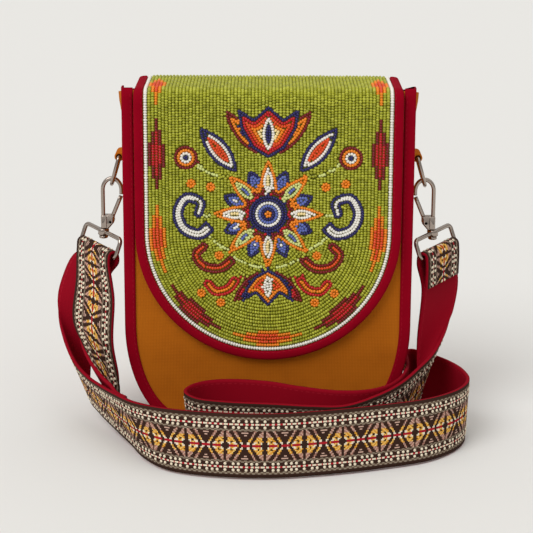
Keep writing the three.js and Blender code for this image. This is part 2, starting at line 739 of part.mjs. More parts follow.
function addHardware() {
  for (const [name, side] of [["left", -1], ["right", 1]]) {
    addMesh(`${name}_tab`, mirrorFor(side, tabGeometry()), ochreCanvas);
    addMesh(`${name}_d_ring`, mirrorFor(side, dRingGeometry()), metal);
    addMesh(`${name}_hook`, mirrorFor(side, hookGeometry()), metal);
    addMesh(`${name}_gate`, mirrorFor(side, gateGeometry()), metal);
    addMesh(`${name}_gate_pin`, mirrorFor(side, crossPin(pinRadius, hookBaseDepth)), metal);
    addMesh(`${name}_strap_ring`, mirrorFor(side, strapRingGeometry()), metal);
  }
}

// Strap: stations of its upper or outer edge and the way across to its other edge.

const doubledEnd = [
  [-84.8, -81.2, 38.6, 0.21, 0.18, -0.95],
  [-90.8, -73.8, 38.8, 0.22, 0.29, -0.93],
  [-95.6, -61.6, 39.6, 0.26, 0.33, -0.9],
  [-101.9, -50, 41, 0.32, 0.32, -0.88],
  [-110.5, -37, 47.1, 0.45, 0.1, -0.87],
  [-117.6, -22.5, 56.4, 0.66, -0.22, -0.72],
  [-122.6, -9.5, 69, 0.7, -0.62, -0.36],
  [-121, 1, 88, 0.67, -0.74, -0.09],
];
const longRun = [
  [-124, 16.5, 100.5, 0.66, -0.74, -0.14],
  [-131.3, 14, 86, 0.66, -0.6, -0.46],
  [-133.8, 4, 69, 0.56, -0.16, -0.81],
  [-129.3, -9, 54.5, 0.38, 0.24, -0.89],
  [-121.3, -26.5, 43.6, 0.22, 0.48, -0.85],
  [-111.5, -43, 38.8, 0.14, 0.56, -0.81],
  [-101.3, -59.5, 38, 0.15, 0.48, -0.86],
  [-91.5, -75.5, 38.6, 0.22, 0.28, -0.93],
  [-79.8, -90, 38.6, 0.2, 0.08, -0.97],
  [-62, -100, 38.4, 0.1, -0.06, -0.99],
  [-36, -106.5, 38.3, 0, -0.12, -0.99],
  [0, -109.5, 38.3, 0, -0.13, -0.99],
  [35, -103, 38.3, 0, -0.15, -0.99],
  [68.6, -92.5, 38.3, 0, -0.15, -0.99],
  [96.5, -81, 38.4, 0, -0.12, -0.99],
  [115.5, -64, 38.4, -0.02, -0.06, -0.99],
  [123.5, -45.7, 38.4, -0.04, 0, -0.99],
  [122, -26.1, 38.4, -0.06, 0.02, -0.99],
  [116, -10.5, 38.4, -0.05, -0.06, -0.99],
  [106, 4.5, 38.4, -0.03, -0.12, -0.99],
  [97.5, 12.5, 38.4, 0, -0.08, -0.99],
  [93, 15.5, 38.4, 0, 0, -0.99],
  [89.4, 11, 38.4, 0, 0, -0.99],
  [89.2, -3, 38.4, 0, 0, -0.99],
  [88.2, -19, 38.4, -0.02, 0, -0.99],
  [83, -40, 38.4, -0.02, 0.04, -0.99],
  [73.5, -57, 38.4, 0, 0.06, -0.99],
  [60, -66.5, 38.4, 0, 0.08, -0.99],
  [42, -68, 38.4, 0, 0.06, -0.99],
  [18.4, -60, 38.4, 0, 0, -0.99],
  [0, -51, 38.4, 0, -0.04, -0.99],
  [-24.4, -47.4, 38.4, 0, -0.04, -0.99],
  [-38.5, -51, 38.4, 0.05, -0.05, -0.99],
  [-47, -60, 38.4, 0.08, 0, -0.99],
  [-49.5, -71, 38.4, 0.08, 0.05, -0.99],
  [-42, -82.5, 38.3, 0.04, 0.08, -0.99],
  [-25, -87.5, 38, 0, 0.14, -0.98],
  [5, -89.5, 37.4, 0, 0.22, -0.97],
  [26, -91.5, 37, 0, 0.26, -0.96],
  [46, -90, 36.8, 0, 0.28, -0.96],
  [66.2, -80, 40.1, -0.02, 0.22, -0.97],
  [80.6, -66, 42.9, -0.05, 0.16, -0.98],
  [92.2, -49, 46.5, -0.14, 0.1, -0.98],
  [102.5, -32, 50.6, -0.27, -0.06, -0.96],
  [111.6, -14, 59.4, -0.46, -0.3, -0.84],
  [118.6, 4, 71.8, -0.64, -0.6, -0.48],
  [121, 16, 89.5, -0.63, -0.77, -0.08],
];

function addStrap() {
  const station = ([x, y, z, ax, ay, az]) => {
    const edge = new THREE.Vector3(x, y, z + strapLift);
    const across = new THREE.Vector3(ax, ay, az).normalize();
    return { middle: edge.addScaledVector(across, strapWidth / 2), across };
  };
  // Over a ring's lower bar, from the near side to the far side.
  const fold = (side) => {
    const mirror = new THREE.Vector3(-side, 1, 1);
    const across = inwardBar.clone().multiply(mirror);
    const near = nearSide.clone().multiply(mirror);
    const foot = ringFoot.clone().multiply(mirror);
    return [0, 45, 90, 135, 180].map((degrees) => {
      const angle = THREE.MathUtils.degToRad(degrees);
      const middle = foot.clone().addScaledVector(near, strapFoldRadius * Math.cos(angle));
      middle.z += degrees % 180 ? strapFoldRadius * Math.sin(angle) : -strapFoldRadius;
      return { middle, across };
    });
  };
  const rightFold = fold(1).reverse();
  const tailEnd = { middle: rightFold[4].middle.clone(), across: rightFold[4].across };
  tailEnd.middle.z = ringFoot.z - strapTailLength;
  const stations = [
    ...doubledEnd.map(station),
    ...fold(-1),
    ...longRun.map(station),
    ...rightFold,
    tailEnd,
  ];
  const edgeCurve = (sign) =>
    new THREE.CatmullRomCurve3(
      stations.map((s) => s.middle.clone().addScaledVector(s.across, (sign * strapWidth) / 2)),
      false,
      "centripetal",
    );
  const steps = strapStepsPerSpan * (stations.length - 1);
  const upper = edgeCurve(-1).getPoints(steps);
  const lower = edgeCurve(1).getPoints(steps);
  const faces = upper.map((u, i) => {
    const middle = u.clone().add(lower[i]).divideScalar(2);
    const across = lower[i].clone().sub(u).normalize();
    const before = Math.max(i - 1, 0);
    const after = Math.min(i + 1, steps);
    const along = upper[after].clone().add(lower[after]).sub(upper[before]).sub(lower[before]);
    const normal = along.cross(across).normalize();
    const corner = (side, layer) =>
      middle
        .clone()
        .addScaledVector(across, (side * strapWidth) / 2)
        .addScaledVector(normal, (layer * strapThick) / 2);
    return { outside: [corner(-1, -1), corner(1, -1)], lining: [corner(-1, 1), corner(1, 1)] };
  });
  addMesh("strap", skin(faces.map((f) => f.outside), faces.map((f) => f.lining)), wovenStrap);
}

addPanel("front_panel", 1, earTop);
addPanel("back_panel", -1, rearTop);
addGusset();
addPanelBinding("front_binding", 1, earTop);
addPanelBinding("back_binding", -1, rearTop);
addMouthBinding();
addBagLining();
addFlapCloth();
addBeadField();
addWhiteEdging();
addFlapBinding();
addRearHem();
addMotifs();
addHardware();
addStrap();

export default bag;
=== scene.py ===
import math

import bpy
import numpy as np
from mathutils import Matrix, Vector
from mathutils.kdtree import KDTree


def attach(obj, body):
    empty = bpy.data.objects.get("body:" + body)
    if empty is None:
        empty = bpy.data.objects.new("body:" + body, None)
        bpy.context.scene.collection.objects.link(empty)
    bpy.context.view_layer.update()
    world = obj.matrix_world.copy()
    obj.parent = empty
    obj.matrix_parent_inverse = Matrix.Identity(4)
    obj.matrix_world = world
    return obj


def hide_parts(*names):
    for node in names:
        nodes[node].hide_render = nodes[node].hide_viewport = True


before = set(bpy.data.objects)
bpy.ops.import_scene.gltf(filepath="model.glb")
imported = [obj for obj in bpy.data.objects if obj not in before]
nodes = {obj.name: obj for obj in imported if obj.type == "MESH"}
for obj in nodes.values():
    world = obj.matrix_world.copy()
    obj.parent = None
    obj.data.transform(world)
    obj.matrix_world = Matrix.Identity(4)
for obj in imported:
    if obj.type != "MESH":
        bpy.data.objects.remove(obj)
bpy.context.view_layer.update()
rng = np.random.default_rng(7)

# Sizes in millimetres, those of the solids as in the part's source
BAG_HALF = 89.0
CORNER_ACROSS = 38.0
CORNER_UP = 66.0
FRONT_TOP = 215.8
REAR_TOP = 207.2
FACES = (("front", -1, FRONT_TOP), ("back", 1, REAR_TOP))
BINDING_FACE = 7.0
BINDING_THICK = 1.3
BINDING_FRONT = 25.3
BINDING_SIDE_END = 16.4
PANEL_HALF = 87.4
PANEL_FACE = 24.0
PANEL_THICK = 2.2
PANEL_FOOT = 1.6
PANEL_DROP = 1.9
PANEL_SEAM = 6.4
PANEL_CROWNS = ((1.4, 1.4), (0.9, 3.2))
CROWN_TOP = 165.0
CROWN_RUN = 70.0
EASE_ACROSS = 40.0
EASE_UP = 45.0
RIPPLE = 0.32
LINING_TOP = 199.6
LINING_INSET = 4.3
LINING_LEVEL = 20.6
LINING_THICK = 0.7
LINING_SEAM = 0.6
LINING_EASE_HALF = 80.0
LINING_SAG = 0.5
GUSSET_TOP = 213.5
GUSSET_REAR_DROP = 8.6
GUSSET_THICK = 2.0
GUSSET_HALF = 20.9
GUSSET_SUNK = 1.6
GUSSET_SUNK_RUN = 3.2
GUSSET_OVERLAP = 0.6
GUSSET_BULGE = 3.4
GUSSET_BULGE_FROM = 186.0
FLAP_HALF = 81.5
FLAP_CURVE_UP = 81.2
FLAP_CENTRE = 127.0
FLAP_FRONT_Y = -27.2
FLAP_BACK_Y = 26.8
FLAP_TOP_Z = 213.1
FLAP_BEND = 6.0
FLAP_REAR_END = 168.0
FLAP_BINDING_FACE = 6.0
FLAP_BINDING_MIDDLE = 1.2
FLAP_BINDING_HALF = 2.35
FLAP_LINING_INSET = 1.8
FLAP_LINING_LEVELS = (1.1, -0.9)
LIMB_STEP = 3.0
FLAP_DROOP = 1.4
FLAP_DROOP_FROM = 66.0
BEAD_MIDDLE = 2.4
BEAD_BASE = 2.0
BEAD_PITCH = 1.62
BACKING_OFFSET = 2.3
EDGE_LANE = 7.25
FIELD_INSET = 8.6
LANE_COUNT = 35
LANE_PITCH = (FLAP_HALF - FIELD_INSET) / LANE_COUNT
STRAP_WIDTH = 38.0
STRAP_THICK = 2.0
STRAP_LIFT = 0.5
HEADING_REACH = 0.4

# Camera, as the photo was taken, and the floor's reach
CAMERA_AT = (-0.9, -1086.5, 389.3)
CAMERA_TARGET = (-0.9, -24.0, 104.55)
CAMERA_LENS = 120.2
CAMERA_ROLL = 0.25
FLOOR_HALF = 40000.0


def linear(value):
    c = value / 255
    return c / 12.92 if c <= 0.04045 else ((c + 0.055) / 1.055) ** 2.4


def tone(red, green, blue):
    return (linear(red), linear(green), linear(blue), 1.0)


# Materials


def plain(name, colour, roughness, metallic=0.0, specular=0.5):
    material = bpy.data.materials.new(name)
    material.use_nodes = True
    shader = material.node_tree.nodes["Principled BSDF"]
    shader.inputs["Base Color"].default_value = colour
    shader.inputs["Roughness"].default_value = roughness
    shader.inputs["Metallic"].default_value = metallic
    shader.inputs["Specular IOR Level"].default_value = specular
    return material


def palette(prefix, tones, roughness, specular):
    return {name: plain(prefix + name, tone(*c), roughness, specular=specular) for name, c in tones.items()}


def add_node(material, kind, operation=None, **inputs):
    node = material.node_tree.nodes.new("ShaderNode" + kind)
    if operation:
        node.operation = operation
    for key, value in inputs.items():
        node.inputs[key.replace("_", " ")].default_value = value
    return node


def link(material, source, output, target, socket):
    material.node_tree.links.new(source.outputs[output], target.inputs[socket])


def noise(material, scale, detail):
    texture = add_node(material, "TexNoise", Scale=scale, Detail=detail)
    link(material, add_node(material, "TexCoord"), "Object", texture, "Vector")
    return texture


def two_toned(material, factor, height, dark, colour, strength, distance):
    """Colours a material between two tones by one output and raises it by another."""
    shader = material.node_tree.nodes["Principled BSDF"]
    mix = add_node(material, "Mix")
    mix.data_type = "RGBA"
    mix.inputs["A"].default_value = dark
    mix.inputs["B"].default_value = colour
    relief = add_node(material, "Bump", Strength=strength, Distance=distance)
    link(material, *factor, mix, "Factor")
    link(material, mix, "Result", shader, "Base Color")
    link(material, *height, relief, "Height")
    link(material, relief, "Normal", shader, "Normal")
    return material


def woven_cloth(name, colour, dark, ways, source):
    """Canvas with warp and weft, laid out along two axes of its own coordinates."""
    material = plain(name, colour, 0.9, specular=0.05)
    place = add_node(material, "TexCoord")
    weave = add_node(material, "Math", "MULTIPLY")
    for socket, way in enumerate(ways):
        wave = add_node(material, "TexWave", Scale=WEAVE_SCALE, Distortion=0.6)
        wave.bands_direction = way
        link(material, place, source, wave, "Vector")
        link(material, wave, "Fac", weave, socket)
    shade = add_node(material, "Math", "ADD")
    link(material, noise(material, 60.0, 3.0), "Fac", shade, 0)
    link(material, weave, "Value", shade, 1)
    return two_toned(material, (shade, "Value"), (weave, "Value"), dark, colour, 0.25, 0.0003)


def soft_cloth(name, colour, dark):
    material = plain(name, colour, 0.85, specular=0.05)
    blotch = (noise(material, 90.0, 4.0), "Fac")
    return two_toned(material, blotch, blotch, dark, colour, 0.25, 0.001)


def worn_metal(name, colour, smoothest, roughest):
    material = plain(name, colour, smoothest, metallic=1.0)
    shader = material.node_tree.nodes["Principled BSDF"]
    level = add_node(material, "MapRange", From_Min=0.35, From_Max=0.65, To_Min=smoothest, To_Max=roughest)
    link(material, noise(material, 320.0, 4.0), "Fac", level, "Value")
    link(material, level, "Result", shader, "Roughness")
    return material


OCHRE, DARK_OCHRE = tone(194, 110, 25), tone(160, 85, 17)
WEAVE_SCALE = 330.0
canvas = woven_cloth("canvas", OCHRE, DARK_OCHRE, "XY", "UV")
tab_canvas = woven_cloth("tab_canvas", OCHRE, DARK_OCHRE, "YZ", "Object")
binding = soft_cloth("binding", tone(152, 2, 29), tone(134, 1, 24))
lining = soft_cloth("lining", tone(142, 2, 26), tone(126, 1, 22))
thread = plain("thread", tone(158, 18, 38), 0.8, specular=0.1)
# The bead backing is a real sheet, but its dark olive colour is painted shade, so that the gaps between the
# beads look dark
backing = plain("bead_backing", tone(92, 94, 26), 0.95, specular=0.1)
metal = worn_metal("nickel", tone(168, 155, 145), 0.1, 0.22)

BEAD_TONES = {
    "green_a": (173, 175, 48),
    "green_b": (154, 156, 38),
    "green_c": (187, 189, 62),
    "white": (244, 240, 230),
    "edging": (244, 240, 230),
    "pale": (214, 222, 140),
    "yellow": (250, 226, 160),
    "orange": (244, 138, 30),
    "flame": (228, 78, 30),
    "red": (196, 26, 36),
    "maroon": (124, 22, 30),
    "navy": (40, 36, 96),
    "blue": (98, 112, 184),
}
bead_material = palette("bead_", BEAD_TONES, 0.3, 0.35)


# Meshes


def mesh_object(name, points, quads=(), tris=(), materials=(), picks=None, uv=None):
    points = np.asarray(points, float).reshape(-1, 3) / 1000
    faces = [np.asarray(quads, int).reshape(-1, 4), np.asarray(tris, int).reshape(-1, 3)]
    mesh = bpy.data.meshes.new(name)
    mesh.from_pydata(points, [], faces[0].tolist() + faces[1].tolist(), shade_flat=False)
    for material in materials:
        mesh.materials.append(material)
    if picks is not None:
        mesh.polygons.foreach_set("material_index", np.asarray(picks, int))
    if uv is not None:
        corners = np.concatenate([f.ravel() for f in faces])
        mesh.uv_layers.new(name="weave").data.foreach_set("uv", uv[corners].ravel())
    obj = bpy.data.objects.new(name, mesh)
    bpy.context.scene.collection.objects.link(obj)
    return obj


def grid_quads(rows, columns, closed_rows=False, closed_columns=False, start=0):
    r = np.arange(rows if closed_rows else rows - 1)
    c = np.arange(columns if closed_columns else columns - 1)
    r, c = np.meshgrid(r, c, indexing="ij")
    r2 = (r + 1) % rows
    c2 = (c + 1) % columns
    quads = np.stack([r * columns + c, r * columns + c2, r2 * columns + c2, r2 * columns + c], -1)
    return quads.reshape(-1, 4) + start


def fan(ring, reverse=False):
    ring = list(ring)
    if reverse:
        ring = ring[::-1]
    return [(ring[0], ring[i], ring[i + 1]) for i in range(1, len(ring) - 1)]


def shell_object(name, outer, inner, material, uv=None):
    """Two faces joined by a rim all round."""
    rows, columns = outer.shape[:2]
    front = grid_quads(rows, columns)
    number = np.arange(rows * columns).reshape(rows, columns)
    border = np.concatenate([number[0], number[1:, -1], number[-1, -2::-1], number[-2:0:-1, 0]])
    after = np.roll(border, -1)
    count = number.size
    rim = np.stack([after, border, border + count, after + count], -1)
    points = np.concatenate([outer.reshape(-1, 3), inner.reshape(-1, 3)])
    if uv is not None:
        uv = np.concatenate([uv.reshape(-1, 2)] * 2)
    quads = np.concatenate([front, front[:, ::-1] + count, rim])
    return facing_out(mesh_object(name, points, quads, (), [material], uv=uv))


def facing_out(obj):
    bpy.context.view_layer.objects.active = obj
    obj.select_set(True)
    bpy.ops.object.mode_set(mode="EDIT")
    bpy.ops.mesh.select_all(action="SELECT")
    bpy.ops.mesh.normals_make_consistent(inside=False)
    bpy.ops.object.mode_set(mode="OBJECT")
    obj.select_set(False)
    return obj


def solid(name, forms, material, closed=False, side=-1):
    """One mesh of forms given as stacks of sections, drawn for the left side and mirrored for the right."""
    points, quads, tris, count = [], [], [], 0
    for sections in forms:
        rows, columns = sections.shape[:2]
        size = rows * columns
        quads.append(grid_quads(rows, columns, closed, True, count))
        if not closed:
            tris += fan(range(count, count + columns))
            tris += fan(range(count + size - columns, count + size), reverse=True)
        points.append(sections.reshape(-1, 3))
        count += size
    points = np.concatenate(points) * np.array([-side, 1, 1])
    return facing_out(mesh_object(name, points, np.concatenate(quads), tris, [material]))


def place_piece(obj, replaced=None, body="bag"):
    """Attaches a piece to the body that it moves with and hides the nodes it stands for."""
    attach(obj, body)
    if replaced is not None:
        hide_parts(*replaced)


# Curves


def unit(vectors):
    return vectors / np.linalg.norm(vectors, axis=-1, keepdims=True)


def eased(share):
    share = np.clip(share, 0, 1)
    return share * share * (3 - 2 * share)


def bent(start, corner, end, t):
    return (1 - t) ** 2 * start + 2 * t * (1 - t) * corner + t * t * end


def squared_circle(count, power):
    """Cosines and sines of a turn, fuller at the corners the lower the power."""
    turns = np.linspace(0, 2 * math.pi, count, endpoint=False)
    wave = np.stack([np.cos(turns), np.sin(turns)])
    return np.sign(wave) * np.abs(wave) ** power


def spline(points, steps, power=0.0):
    """A smooth curve through points, its knots spaced by a power of their distances."""
    points = np.array(points, float)
    p = np.concatenate([[2 * points[0] - points[1]], points, [2 * points[-1] - points[-2]]])
    t = np.linspace(0, 1, steps, endpoint=False)[:, None]
    curve = []
    for a, b, c, d in zip(p[:-3], p[1:-2], p[2:-1], p[3:]):
        da, db, dc = (max(np.linalg.norm(w) ** power, 1e-4) for w in (b - a, c - b, d - c))
        out = ((b - a) / da - (c - a) / (da + db) + (c - b) / db) * db
        onto = ((c - b) / db - (d - b) / (db + dc) + (d - c) / dc) * db
        curve.append(b + out * t + (3 * (c - b) - 2 * out - onto) * t**2 + (2 * (b - c) + out + onto) * t**3)
    return np.concatenate(curve + [points[-1:]])


def reach_along(points):
    """The length along a path up to each of its points."""
    return np.concatenate([[0], np.cumsum(np.linalg.norm(np.diff(points, axis=0), axis=1))])


def interpolated(at, reach, values):
    return np.stack([np.interp(at, reach, column) for column in values.T], -1)


def resampled(points, spacing, phase=0.5, closed=False):
    """Evenly spaced spots along a path and the way that it heads at each."""
    points = np.asarray(points, float)
    if closed:
        points = np.concatenate([points, points[:1]])
    reach = reach_along(points)
    count = max(1, int(round(reach[-1] / spacing)))
    at = (np.arange(count) + phase) * reach[-1] / count
    ahead = interpolated(at + HEADING_REACH, reach, points)
    behind = interpolated(at - HEADING_REACH, reach, points)
    return interpolated(at, reach, points), unit(ahead - behind + 1e-12)


# Bag body


def bag_outline(top, samples=40):
    """X, Z and the way inwards along the bag's left side, foot and right side."""
    left = [(-BAG_HALF, z, 1.0, 0.0) for z in np.linspace(top, CORNER_UP, 24, endpoint=False)]
    for a in np.linspace(0, math.pi / 2, samples):
        x = -BAG_HALF + CORNER_ACROSS - CORNER_ACROSS * math.cos(a)
        z = CORNER_UP - CORNER_UP * math.sin(a)
        left.append((x, z, *unit(np.array([CORNER_UP * math.cos(a), CORNER_ACROSS * math.sin(a)]))))
    left += [(x, 0.0, 0.0, 1.0) for x in np.linspace(-BAG_HALF + CORNER_ACROSS, 0, 10)[1:]]
    left = np.array(left)
    right = left[:-1][::-1] * np.array([-1, 1, -1, 1])
    return np.concatenate([left, right])


def inset_strip(outline, inset, y, fall=0.0):
    """Points set in from the bag's outline, a row for each Y."""
    x, z, nx, nz = outline.T
    return np.stack(np.broadcast_arrays(x + inset * nx, y, z - fall + inset * nz), -1)


def rounded(corners, radius, steps=4):
    corners = np.asarray(corners, float)
    points = []
    for i, corner in enumerate(corners):
        before = unit(corners[i - 1] - corner)
        after = unit(corners[(i + 1) % len(corners)] - corner)
        for t in np.linspace(0, 1, steps):
            points.append(bent(corner + before * radius[i], corner, corner + after * radius[i], t))
    return np.array(points)


def add_panel_bindings():
    under = BINDING_FRONT - BINDING_THICK + 0.05
    corners = [
        (BINDING_THICK, under),
        (BINDING_THICK, BINDING_SIDE_END),
        (0.0, BINDING_SIDE_END),
        (0.0, BINDING_FRONT),
        (BINDING_FACE, BINDING_FRONT),
        (BINDING_FACE, under),
    ]
    inset, level = rounded(corners, [0.1, 0.3, 0.5, 1.6, 0.9, 0.1]).T[:, :, None]
    for face, side, top in FACES:
        sections = inset_strip(bag_outline(top), inset, side * level).swapaxes(0, 1)
        obj = solid(f"{face}_binding_cloth", [sections], binding)
        place_piece(obj, [f"{face}_binding"])


def panel_grid(half, low, top, columns=72, rows=64):
    """X and Z over a panel, each column running from its rounded foot to the top, and that foot."""
    x = half * np.sin(np.linspace(-math.pi / 2, math.pi / 2, columns))
    over = np.clip(np.abs(x) / half * BAG_HALF - BAG_HALF + CORNER_ACROSS, 0, None) / CORNER_ACROSS
    foot = low + (CORNER_UP - low) * (1 - np.sqrt(np.clip(1 - over * over, 0, 1)))
    z = foot + (top - foot) * np.linspace(0, 1, rows)[:, None]
    return np.broadcast_to(x, z.shape), z, foot


def upright_shell(name, x, z, side, level, thick, material, uv=None):
    faces = [np.stack([x, side * (level - depth), z], -1) for depth in (0.0, thick)]
    return shell_object(name, *faces, material, uv)


def add_panels():
    for (face, side, top), (least, most) in zip(FACES, PANEL_CROWNS):
        x, z, foot = panel_grid(PANEL_HALF, PANEL_FOOT, top - PANEL_DROP)
        ease = eased((PANEL_HALF - PANEL_SEAM - np.abs(x)) / EASE_ACROSS)
        ease = ease * eased((z - foot - PANEL_SEAM) / EASE_UP)
        crown = least + (most - least) * eased((CROWN_TOP - z) / CROWN_RUN)
        ripple = RIPPLE * np.sin(x / 17 + z / 23) * np.sin(z / 31 - x / 40 + 1)
        level = PANEL_FACE + ease * (crown + ripple)
        uv = np.stack([x, z], -1) / 1000
        obj = upright_shell(f"{face}_panel_cloth", x, z, side, level, PANEL_THICK, canvas, uv)
        place_piece(obj, [f"{face}_panel"])


def add_lining():
    outline = bag_outline(LINING_TOP)
    y = np.linspace(-LINING_LEVEL, LINING_LEVEL, 21)[:, None]
    sag = LINING_SAG * np.sin(outline[:, 1] / 13.0) * (1 - (y / LINING_LEVEL) ** 2)
    faces = [inset_strip(outline, LINING_INSET + depth + sag, y) for depth in (0.0, LINING_THICK)]
    place_piece(shell_object("lining_strip", *faces, lining), ["bag_lining"])
    edge = LINING_INSET + LINING_SEAM
    for face, side, _ in FACES:
        x, z, foot = panel_grid(BAG_HALF - edge, edge, LINING_TOP)
        ease = eased((LINING_EASE_HALF - np.abs(x)) / EASE_ACROSS) * eased((z - foot) / EASE_UP)
        level = LINING_LEVEL - ease * (0.9 + LINING_SAG * np.sin(x / 19 + z / 27))
        obj = upright_shell(f"lining_{face}", x, z, side, level, LINING_THICK, lining)
        place_piece(obj)


def add_gusset():
    outline = bag_outline(GUSSET_TOP)
    y = np.linspace(-GUSSET_HALF, GUSSET_HALF, 41)[:, None]
    height = np.clip((outline[:, 1] - GUSSET_BULGE_FROM) / (GUSSET_TOP - GUSSET_BULGE_FROM), 0, 1)
    edge = BINDING_SIDE_END + GUSSET_OVERLAP
    sunk = GUSSET_SUNK * (1 - eased((edge - np.abs(y)) / GUSSET_SUNK_RUN))
    belly = np.clip(1 - (y / BINDING_SIDE_END) ** 2, 0, None)
    inset = sunk - GUSSET_BULGE * eased(height) * belly
    fall = GUSSET_REAR_DROP * (y / GUSSET_HALF + 1) / 2 * height
    faces = [inset_strip(outline, inset + depth, y, fall) for depth in (0.0, GUSSET_THICK)]
    uv = np.stack(np.meshgrid(y[:, 0], reach_along(outline[:, :2]), indexing="ij")[::-1], -1) / 1000
    place_piece(shell_object("gusset_cloth", *faces, canvas, uv), ["gusset"])


# Flap: places on it are given as X and the length V along its path, which is Z on the front

V_FRONT = FLAP_TOP_Z - FLAP_BEND
BEND_RUN = (FLAP_BEND + BEAD_MIDDLE) * math.pi / 2
V_TOP = V_FRONT + BEND_RUN
V_TOP_END = V_TOP + FLAP_BACK_Y - FLAP_FRONT_Y - 2 * FLAP_BEND
V_BACK = V_TOP_END + BEND_RUN
V_END = V_BACK + V_FRONT - FLAP_REAR_END


def flap_place(x, v, offset):
    x, v, offset = np.broadcast_arrays(np.asarray(x, float), v, offset)
    front = np.clip((v - V_FRONT) / BEND_RUN, 0, 1) * math.pi / 2
    rear = np.clip((v - V_TOP_END) / BEND_RUN, 0, 1) * math.pi / 2
    on_top = np.clip(v, V_TOP, V_TOP_END) - V_TOP
    angle = front + rear
    ny = -np.cos(angle)
    nz = np.sin(angle)
    y = FLAP_FRONT_Y + FLAP_BEND + on_top + (FLAP_BEND + offset) * ny
    z = V_FRONT + (FLAP_BEND + offset) * nz
    z = z + np.minimum(v - V_FRONT, 0) - np.maximum(v - V_BACK, 0)
    sag = np.clip((np.abs(x) - FLAP_DROOP_FROM) / (FLAP_HALF - FLAP_DROOP_FROM), 0, 1) ** 2
    crest = np.clip((v - V_FRONT) / BEND_RUN, 0, 1) * np.clip((V_BACK - v) / BEND_RUN, 0, 1)
    z = z - FLAP_DROOP * sag * crest
    zero = np.zeros_like(ny)
    normal = np.stack([zero, ny, nz], -1)
    tangent = np.stack([zero, nz, -ny], -1)
    return np.stack([x, y, z], -1), tangent, normal


def lane(inset, arc_steps=96):
    """A line at one inset from the flap's edge, up both limbs and round the foot."""
    half = FLAP_HALF - inset
    deep = FLAP_CURVE_UP * half / FLAP_HALF
    limb = np.arange(V_END, FLAP_CENTRE, -LIMB_STEP)
    turn = np.linspace(math.pi, 2 * math.pi, arc_steps)
    left = np.stack([np.full_like(limb, -half), limb], -1)
    arc = np.stack([half * np.cos(turn), FLAP_CENTRE + deep * np.sin(turn)], -1)
    return np.concatenate([left, arc, left[::-1] * np.array([-1, 1])])


def flap_face(first, offset):
    """Points over the flap in lanes, from the first inset to its middle."""
    insets = np.append(np.arange(first, FLAP_HALF - 1, 4.0), FLAP_HALF - 0.01)
    return np.array([flap_place(*lane(inset, arc_steps=48).T, offset)[0] for inset in insets])


def add_flap_binding():
    across, up = squared_circle(20, 0.7)
    insets = FLAP_BINDING_FACE / 2 * (1 - across)
    offsets = FLAP_BINDING_MIDDLE + FLAP_BINDING_HALF * up
    columns = [flap_place(*lane(inset).T, offset)[0] for inset, offset in zip(insets, offsets)]
    obj = solid("flap_binding_cloth", [np.stack(columns, 1)], binding)
    place_piece(obj, ["flap_binding"])


def add_flap_lining():
    faces = [flap_face(FLAP_LINING_INSET, offset) for offset in FLAP_LINING_LEVELS]
    place_piece(shell_object("flap_lining_cloth", *faces, lining), ["flap_lining"])


def add_flap_backing_and_painted_shade():
    # The sheet under the beads, coloured dark olive as painted shade in the gaps between the beads
    rows = flap_face(FLAP_BINDING_FACE - 1, BACKING_OFFSET)
    obj = mesh_object("flap_backing_and_painted_shade", rows, grid_quads(*rows.shape[:2]), (), [backing])
    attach(obj, "bag")


# Beads: small half barrels laid along their rows, each a little off its height and size

HEIGHT_SPREAD = 0.05
SIZE_SPREAD = 0.035
LANE_SPREAD = 0.08
GREEN_SHARES = (0.5, 0.3, 0.2)
BARREL_ALONG = np.array([-0.5, -0.24, 0.24, 0.5])
BARREL_GIRTH = np.array([0.52, 1.0, 1.0, 0.52])
BARREL_TURNS = np.radians([-8, 42, 90, 138, 188])
HOLE = 1.4
HOLE_STEP = 0.45
BEAD_LENGTH = 1.56
BEAD_WIDTH = 2.16
BEAD_HEIGHT = 1.45
EDGING_WIDTH = 2.45
GROUND_ROOM = 0.45
MOTIF_ROOM = 0.6
BEAD_ROOM = 1.0


def bead_template(length, width, height):
    points = []
    for along, girth in zip(BARREL_ALONG, BARREL_GIRTH):
        for turn in BARREL_TURNS:
            reach, rise = math.cos(turn) * width / 2, math.sin(turn) * height
            points.append((along * length, girth * reach, girth * rise))
    columns = len(BARREL_TURNS)
    quads = grid_quads(len(BARREL_ALONG), columns)
    tris = fan(range(columns)) + fan(range(len(points) - columns, len(points)), reverse=True)
    return np.array(points), quads, np.array(tris)


def laid(template, place, along, normal, swell=1.0):
    """One template's points, quads and triangles set at each place."""
    points, quads, tris = template
    x, y, z = np.moveaxis(points[None] * swell, -1, 0)[..., None]
    across = np.cross(normal, along)
    world = place[:, None] + x * along[:, None] + y * across[:, None] + z * normal[:, None]
    shift = np.arange(len(place))[:, None, None] * len(points)
    return world.reshape(-1, 3), (quads + shift).reshape(-1, 4), (tris + shift).reshape(-1, 3)


def on_flap(spots, heading, offset):
    """Places, headings and normals of spots on the flap."""
    place, tangent, normal = flap_place(spots[:, 0], spots[:, 1], offset)
    along = unit(heading[:, :1] * np.array([1.0, 0, 0]) + heading[:, 1:] * tangent)
    return place, along, normal


